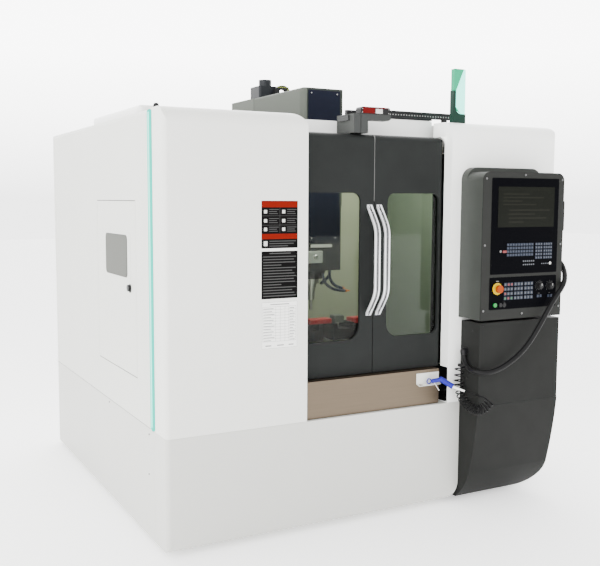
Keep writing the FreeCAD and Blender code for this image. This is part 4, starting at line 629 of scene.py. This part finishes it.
# a black sheet at the back of the right cover's pocket: painted shade
soft_blocks("pocket_shade_sheet", [(1534, 1878, 161.5, 163.5, 556, 1876)], BLACK, 0.6)
soft_blocks("sill_pad", [(1532, 1640, 24, 156, 553.3, 560)], RUBBER, 0.8)
CORNER_R, CORNER_X, CORNER_Z = 44, 1487, 1876        # rounded top right corner of the doorway
arc = [(CORNER_X + CORNER_R * math.cos(math.radians(9 * k)),
        CORNER_Z + CORNER_R * math.sin(math.radians(9 * k))) for k in range(11)]
corner = [(1531, 1921)] + arc[::-1]
loft("opening_corner", [[(x, y, z) for x, z in corner] for y in (50, 62)], [RIGHT_WHITE_LIT])

# ---- left side: access window, lamp diffuser, seams and screws ------------------------
side_plate("pane_surround", (480, 915, 1208, 1438), -0.1, 1.0, 20.0, SIDE_SHADED, "side_access_door")
side_plate("window_rim", (529, 903, 1218, 1425), -1.15, 0.8, 24.0, SEAM_DARK,
           "side_access_door")
side_plate("access_window", (533, 899, 1222, 1421), -2.0, 1.2, 22.0, SMOKED,
           "side_access_door")
turned("knob_rose", [(0, 21), (2.5, 21), (4, 19), (4, 15)], (-0.2, 494, 1171), (-1, 0, 0),
       BLACK, 32, "side_access_door")
profile = [(-0.2, 147), (-2.6, 150), (-5.2, 160), (-5.9, 174), (-5.3, 190), (-2.6, 203),
           (-0.2, 207)]
loft("lamp_diffuser", [[(x, y, z) for x, y in profile] for z in (556, 1986)], [LIGHT])
core = [(-5.6, 168), (-6.6, 170), (-6.9, 176), (-6.6, 182), (-5.2, 184)]
loft("lamp_core", [[(x, y, z) for x, y in core] for z in (566, 1978)], [LIGHT_CORE])
soft_blocks("side_seams", [(-0.5, 0.1, 398, 1057, 1588.5, 1592),
                           (-0.5, 0.1, 398, 1057, 750.5, 753.5)], SEAM_DARK, 0.15)
soft_blocks("skirt_seam", [(-0.4, 0.1, 210, 2130, 549.4, 551.4)], SEAM_DARK, 0.1)
for k, (y, z) in enumerate(((888, 533), (232, 520), (240, 330))):
    screw("skirt_screw_%d" % k, (0, y, z), (-1, 0, 0), 4.5, SCREW_STEEL)


# ---- doors: a dark inlay down the front of each handle's bow, and a painted highlight strip between ---
BOW_FOOT = (64.0, 1029.0)                            # lower end of a handle, at the door
BOW_R, BOW_TURN, BOW_STEPS = 120.0, 35.2, 8          # its bend
BOW_Y, BOW_Z = 111, 1179.1                           # middle of the lower bend
BOW_MIRROR = 2602                                    # heights of the two halves add up to this
INLAY_FRONT, INLAY_BACK, INLAY_HALF = 5.1, 4.3, 3.2


def bow(off):
    """The (y, z) line of the bow, off millimetres in front of its middle."""
    radius = BOW_R + off
    foot_y, foot_z = BOW_FOOT
    lower = [(foot_y, foot_z - 1.4 * (off - 4.9))]
    for k in range(BOW_STEPS + 1):
        a = math.radians(BOW_TURN * (1 - k / BOW_STEPS))
        lower.append((BOW_Y - radius * math.cos(a), BOW_Z - radius * math.sin(a)))
    return lower + [(y, BOW_MIRROR - z) for y, z in reversed(lower)]


inlay = bow(INLAY_FRONT) + bow(INLAY_BACK)[::-1]
for side, middle in HANDLES:
    loft(side + "_handle_inlay", [[(middle + w, y, z) for y, z in inlay]
                                  for w in (-INLAY_HALF, INLAY_HALF)], [RUBBER], side + "_door")
# the strip, a painted highlight along the doors' meeting edge, rides on the machine, so it
# stays in place when the doors slide
soft_blocks("meeting_edge_highlight", [(1107.4, 1109.4, 67.5, 90, 1592, 1916)], MEETING_HIGHLIGHT, 0.3)

# ---- control panel -----------------------------------------------------------------
KEY_FACE, PANEL_FACE, SCREEN_FACE = -176.0, -174.0, -175.1
MARK_LIFT = 0.1                                      # how far a mark lies before its face
KEY_TOP, KEY_PITCH = 1382, 17.5                      # rows of the keys under the screen
MACHINE_TOP, MACHINE_PITCH = 1182, 23.5              # rows of the machine panel's keys
RED_KEYS, GREEN_KEYS = (2, 4, 7, 8), (3, 11)         # machine keys with a coloured mark

# keys as (x0, top, width, height)
main_keys = [(1753 + i * 18, KEY_TOP - j * KEY_PITCH, 14, 13)
             for i in range(10) for j in range(4)]
edit_keys = [(1944 + i * 17, KEY_TOP - j * KEY_PITCH, 13, 13)
             for i in range(3) for j in range(5)]
digit_keys = [(2000 + i * 15.5, KEY_TOP - j * KEY_PITCH, 12, 13)
              for i in range(4) for j in range(5)]
machine_keys = [(gx + i * 21, MACHINE_TOP - j * MACHINE_PITCH, 16, 17)
                for gx in (1741, 1808, 1876) for i in range(3) for j in range(4)]


def flats(name, y, rects, mats, body="machine"):
    """Flat colour fields facing -Y; each is (x0, x1, z0, z1, material number)."""
    verts, faces, slots = [], [], []
    for x0, x1, z0, z1, which in rects:
        base = len(verts)
        verts += [(x0, y, z0), (x1, y, z0), (x1, y, z1), (x0, y, z1)]
        faces.append((base, base + 1, base + 2, base + 3))
        slots.append(which)
    return piece(name, verts, faces, mats, slots, body)


marks = [(x + w * 0.25, x + w * 0.72, z - h * 0.62, z - h * 0.36, 0)
         for x, z, w, h in main_keys]
marks += [(x + w * 0.22, x + w * 0.78, z - h * 0.70, z - h * 0.28, 1)
          for x, z, w, h in edit_keys + digit_keys]
for k, (x, z, w, h) in enumerate(machine_keys):
    which = 2 if k in RED_KEYS else 3 if k in GREEN_KEYS else 1
    marks.append((x + w * 0.18, x + w * 0.82, z - h * 0.80, z - h * 0.22, which))
flats("key_marks", KEY_FACE - MARK_LIFT, marks, [KEY_MARK_BLUE, KEY_MARK, KEY_RED, KEY_GREEN])
small = [(1862 + i * 13.6, 1870.5 + i * 13.6, PANEL_FACE - 1.6, PANEL_FACE, z, z + 7.5)
         for i in range(6) for z in (1268, 1286)]
small += [(1988 + i * 12.5, 1995 + i * 12.5, PANEL_FACE - 1.6, PANEL_FACE, 1271, 1277)
          for i in range(4)]
soft_blocks("small_keys", small, KEY_MARK, 0.6)
turned("round_cap", [(0, 7.5), (1.5, 7.5), (2.4, 6.6), (2.6, 3)], (2049, PANEL_FACE, 1275),
       (0, -1, 0), PRINT, 24)
turned("left_cap", [(0, 6.5), (1.5, 6.5), (2.4, 5.6), (2.6, 2)], (1712, PANEL_FACE, 1343),
       (0, -1, 0), PRINT_LINE, 24)
soft_blocks("red_key", [(1726, 1751, PANEL_FACE - 1.8, PANEL_FACE, 1335, 1347)], KEY_RED, 0.6)
flats("panel_marks", PANEL_FACE - MARK_LIFT,
      [(1688, 1706, 1190, 1194, 0), (1972, 1984, 1118, 1121, 1), (2046, 2058, 1117, 1120, 1),
       (1712, 1713, 1058, 1085, 1), (1733, 1752, 1058, 1059, 1), (1733, 1752, 1084, 1085, 1),
       (1751, 1752, 1058, 1085, 1)], [PRINT_LINE, PRINT_GREY])
bars = [(1712, 2046, 1652, 1653, 0)]
bars += rows(1720, 2036, 1640, 1570, 4, 0, (0.55, 0.86, 0.4, 0.7))
bars += rows(1760, 2040, 1560, 1480, 4, 0, (0.98, 0.62, 0.9, 0.35))
flats("screen_rows", SCREEN_FACE, bars, [SCREEN_TEXT])

# scale rings round the two override knobs, then their pointers and grip ribs
DIALS = (("feed", 1978, 1158), ("speed", 2052, 1156))
TICKS, TICK_STEP = 19, 15                            # ticks, and degrees from one to the next
TICK_IN, TICK_SHORT, TICK_LONG = 23.5, 26.5, 29.0
POINTER_FACE = -196.15
RIBS, RIB_RING = 16, 14.1
for name, cx, cz in DIALS:
    verts, faces = [], []
    for k in range(TICKS):
        a = math.radians(-135 + TICK_STEP * k)
        outward, across = (math.sin(a), math.cos(a)), (math.cos(a), -math.sin(a))
        far = TICK_LONG if k % 3 == 0 else TICK_SHORT
        base = len(verts)
        for r, s in ((TICK_IN, -0.5), (TICK_IN, 0.5), (far, 0.5), (far, -0.5)):
            verts.append((cx + outward[0] * r + across[0] * s, PANEL_FACE - MARK_LIFT,
                          cz + outward[1] * r + across[1] * s))
        faces.append((base, base + 3, base + 2, base + 1))
    piece(name + "_scale", verts, faces, [PRINT_LINE])
for name, cx, cz in DIALS:
    flats(name + "_pointer", POINTER_FACE, [(cx - 1, cx + 1, cz + 2, cz + 13, 0)], [PRINT],
          name + "_dial")
    for k in range(RIBS):
        a = 2 * math.pi * k / RIBS
        turned("%s_rib_%d" % (name, k), [(0, 1.2), (13, 1.1), (14.5, 0.5)],
               (cx + RIB_RING * math.cos(a), -178, cz + RIB_RING * math.sin(a)), (0, -1, 0),
               BLACK, 8, name + "_dial")

# ---- roof, cabinet and small hardware ----------------------------------------------
SWITCH_FACE = 62.95                                  # front of the interlock switch
CHAIN_FACE, CHAIN_X, CHAIN_Z = 1185.8, 1142, 2271    # first pin of the drag chain
soft_blocks("duct_lid", [(1206, 1700, 219.2, 242.6, 2046.4, 2057)], BLACK, 1.5)
soft_blocks("duct_lip", [(1206, 1564, 218.6, 222.6, 2014, 2024)], BLACK, 0.8)
dots = [(x, x + 5.5, 2034, 2040, 0) for x in range(1212, 1690, 17)]
flats("duct_slots", 219.9, dots, [DUCT_DOT])
badge("switch_red", (1034, 1104, 2017, 2043), SWITCH_FACE, 0.5, 2.5, [RED])
badge("switch_top_strip", (1036, 1182, 2042.2, 2046.8), SWITCH_FACE, 0.4, 1.0, [RED])
badge("switch_label", (1108, 1148, 2018, 2040), SWITCH_FACE, 0.4, 1.5, [PRINT])
for k, (x, z) in enumerate(((1032, 2021), (1032, 2039), (1184, 2021), (1184, 2039))):
    screw("switch_screw_%d" % k, (x, 63, z), (0, -1, 0), 2.4, STEEL)
for k in range(10):     # along the top to the sixth pin, then down
    x, z = CHAIN_X + 13.5 * min(k, 5), CHAIN_Z - 13 * max(0, k - 5)
    turned("chain_pin_%d" % k, [(0, 3.6), (1.2, 3.6), (1.6, 2.8)], (x, CHAIN_FACE, z),
           (0, -1, 0), LEAF, 12)
for k, (y, z) in enumerate(((-95, 936), (-62, 712), (-58, 684), (-95, 590))):
    screw("cabinet_screw_%d" % k, (1613, y, z), (-1, 0, 0), 4.2, BLACK)
for k, (x, z) in enumerate(((1628, 965), (2139, 965), (1628, 563), (2139, 563))):
    screw("cabinet_front_screw_%d" % k, (x, -150, z), (0, -1, 0), 4.0, BLACK)
for k, z in enumerate((640, 1000, 1400, 1800)):
    screw("strip_screw_%d" % k, (0, 205, z), (-1, 0, 0), 3.2, SIDE_SHADED)


# ---- floor and light ---------------------------------------------------------------
def plane(name, size, place, mat):
    """A level square of the given side."""
    mesh = bpy.data.meshes.new(name)
    h = size / 2
    mesh.from_pydata([(-h, -h, 0), (h, -h, 0), (h, h, 0), (-h, h, 0)], [], [(0, 1, 2, 3)])
    mesh.materials.append(mat)
    o = bpy.data.objects.new(name, mesh)
    o.location = place
    bpy.context.scene.collection.objects.link(o)
    return o


plane("floor", 60.0, (0, 0, 0), FLOOR)


def area(name, place, target, size, power, color=(1, 1, 1)):
    """A rectangular lamp at place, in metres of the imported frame, facing target."""
    data = bpy.data.lights.new(name, "AREA")
    data.shape = "RECTANGLE"
    data.size, data.size_y = size
    data.energy = power
    data.color = color
    o = bpy.data.objects.new(name, data)
    o.location = place
    aim = Vector(target) - Vector(place)
    o.rotation_euler = aim.to_track_quat("-Z", "Y").to_euler()
    bpy.context.scene.collection.objects.link(o)
    return o


def studio():
    """A white world, brightest ahead of the camera and dimmer towards the horizon."""
    world = bpy.data.worlds.new("studio")
    world.use_nodes = True
    tree = world.node_tree
    sky = tree.nodes["Background"]
    sky.inputs["Color"].default_value = (1.0, 1.0, 1.0, 1.0)
    direction = tree.nodes.new("ShaderNodeTexCoord").outputs["Generated"]
    ahead = tree.nodes.new("ShaderNodeVectorMath")
    ahead.operation = "DOT_PRODUCT"
    ahead.inputs[1].default_value = (0.47, 0.88, 0.0)
    tree.links.new(direction, ahead.inputs[0])
    apart = tree.nodes.new("ShaderNodeSeparateXYZ")
    tree.links.new(direction, apart.inputs[0])
    brightness = ranged(tree, ahead.outputs["Value"], (0.1, 0.8), (2.1, 8.6), smooth=True)
    horizon = ranged(tree, apart.outputs["Z"], (0.0, 0.16), (0.46, 1.0))
    total = tree.nodes.new("ShaderNodeMath")
    total.operation = "MULTIPLY"
    tree.links.new(brightness, total.inputs[0])
    tree.links.new(horizon, total.inputs[1])
    tree.links.new(total.outputs["Value"], sky.inputs["Strength"])
    bpy.context.scene.world = world


studio()
area("key", (-3.0, -6.0, 5.0), (0, 0, 1.0), (5, 4), 240)
area("side", (-6.0, 0.0, 4.2), (0, 0, 1.6), (4, 3), 220)
area("low_left", (-6.5, -3.4, 2.2), (0.8, -1.0, 1.2), (3, 3), 300)
area("chamber", at(1250, 420, 1900), at(1150, 900, 1100), (0.9, 0.3), 14, (0.97, 1.0, 0.93))
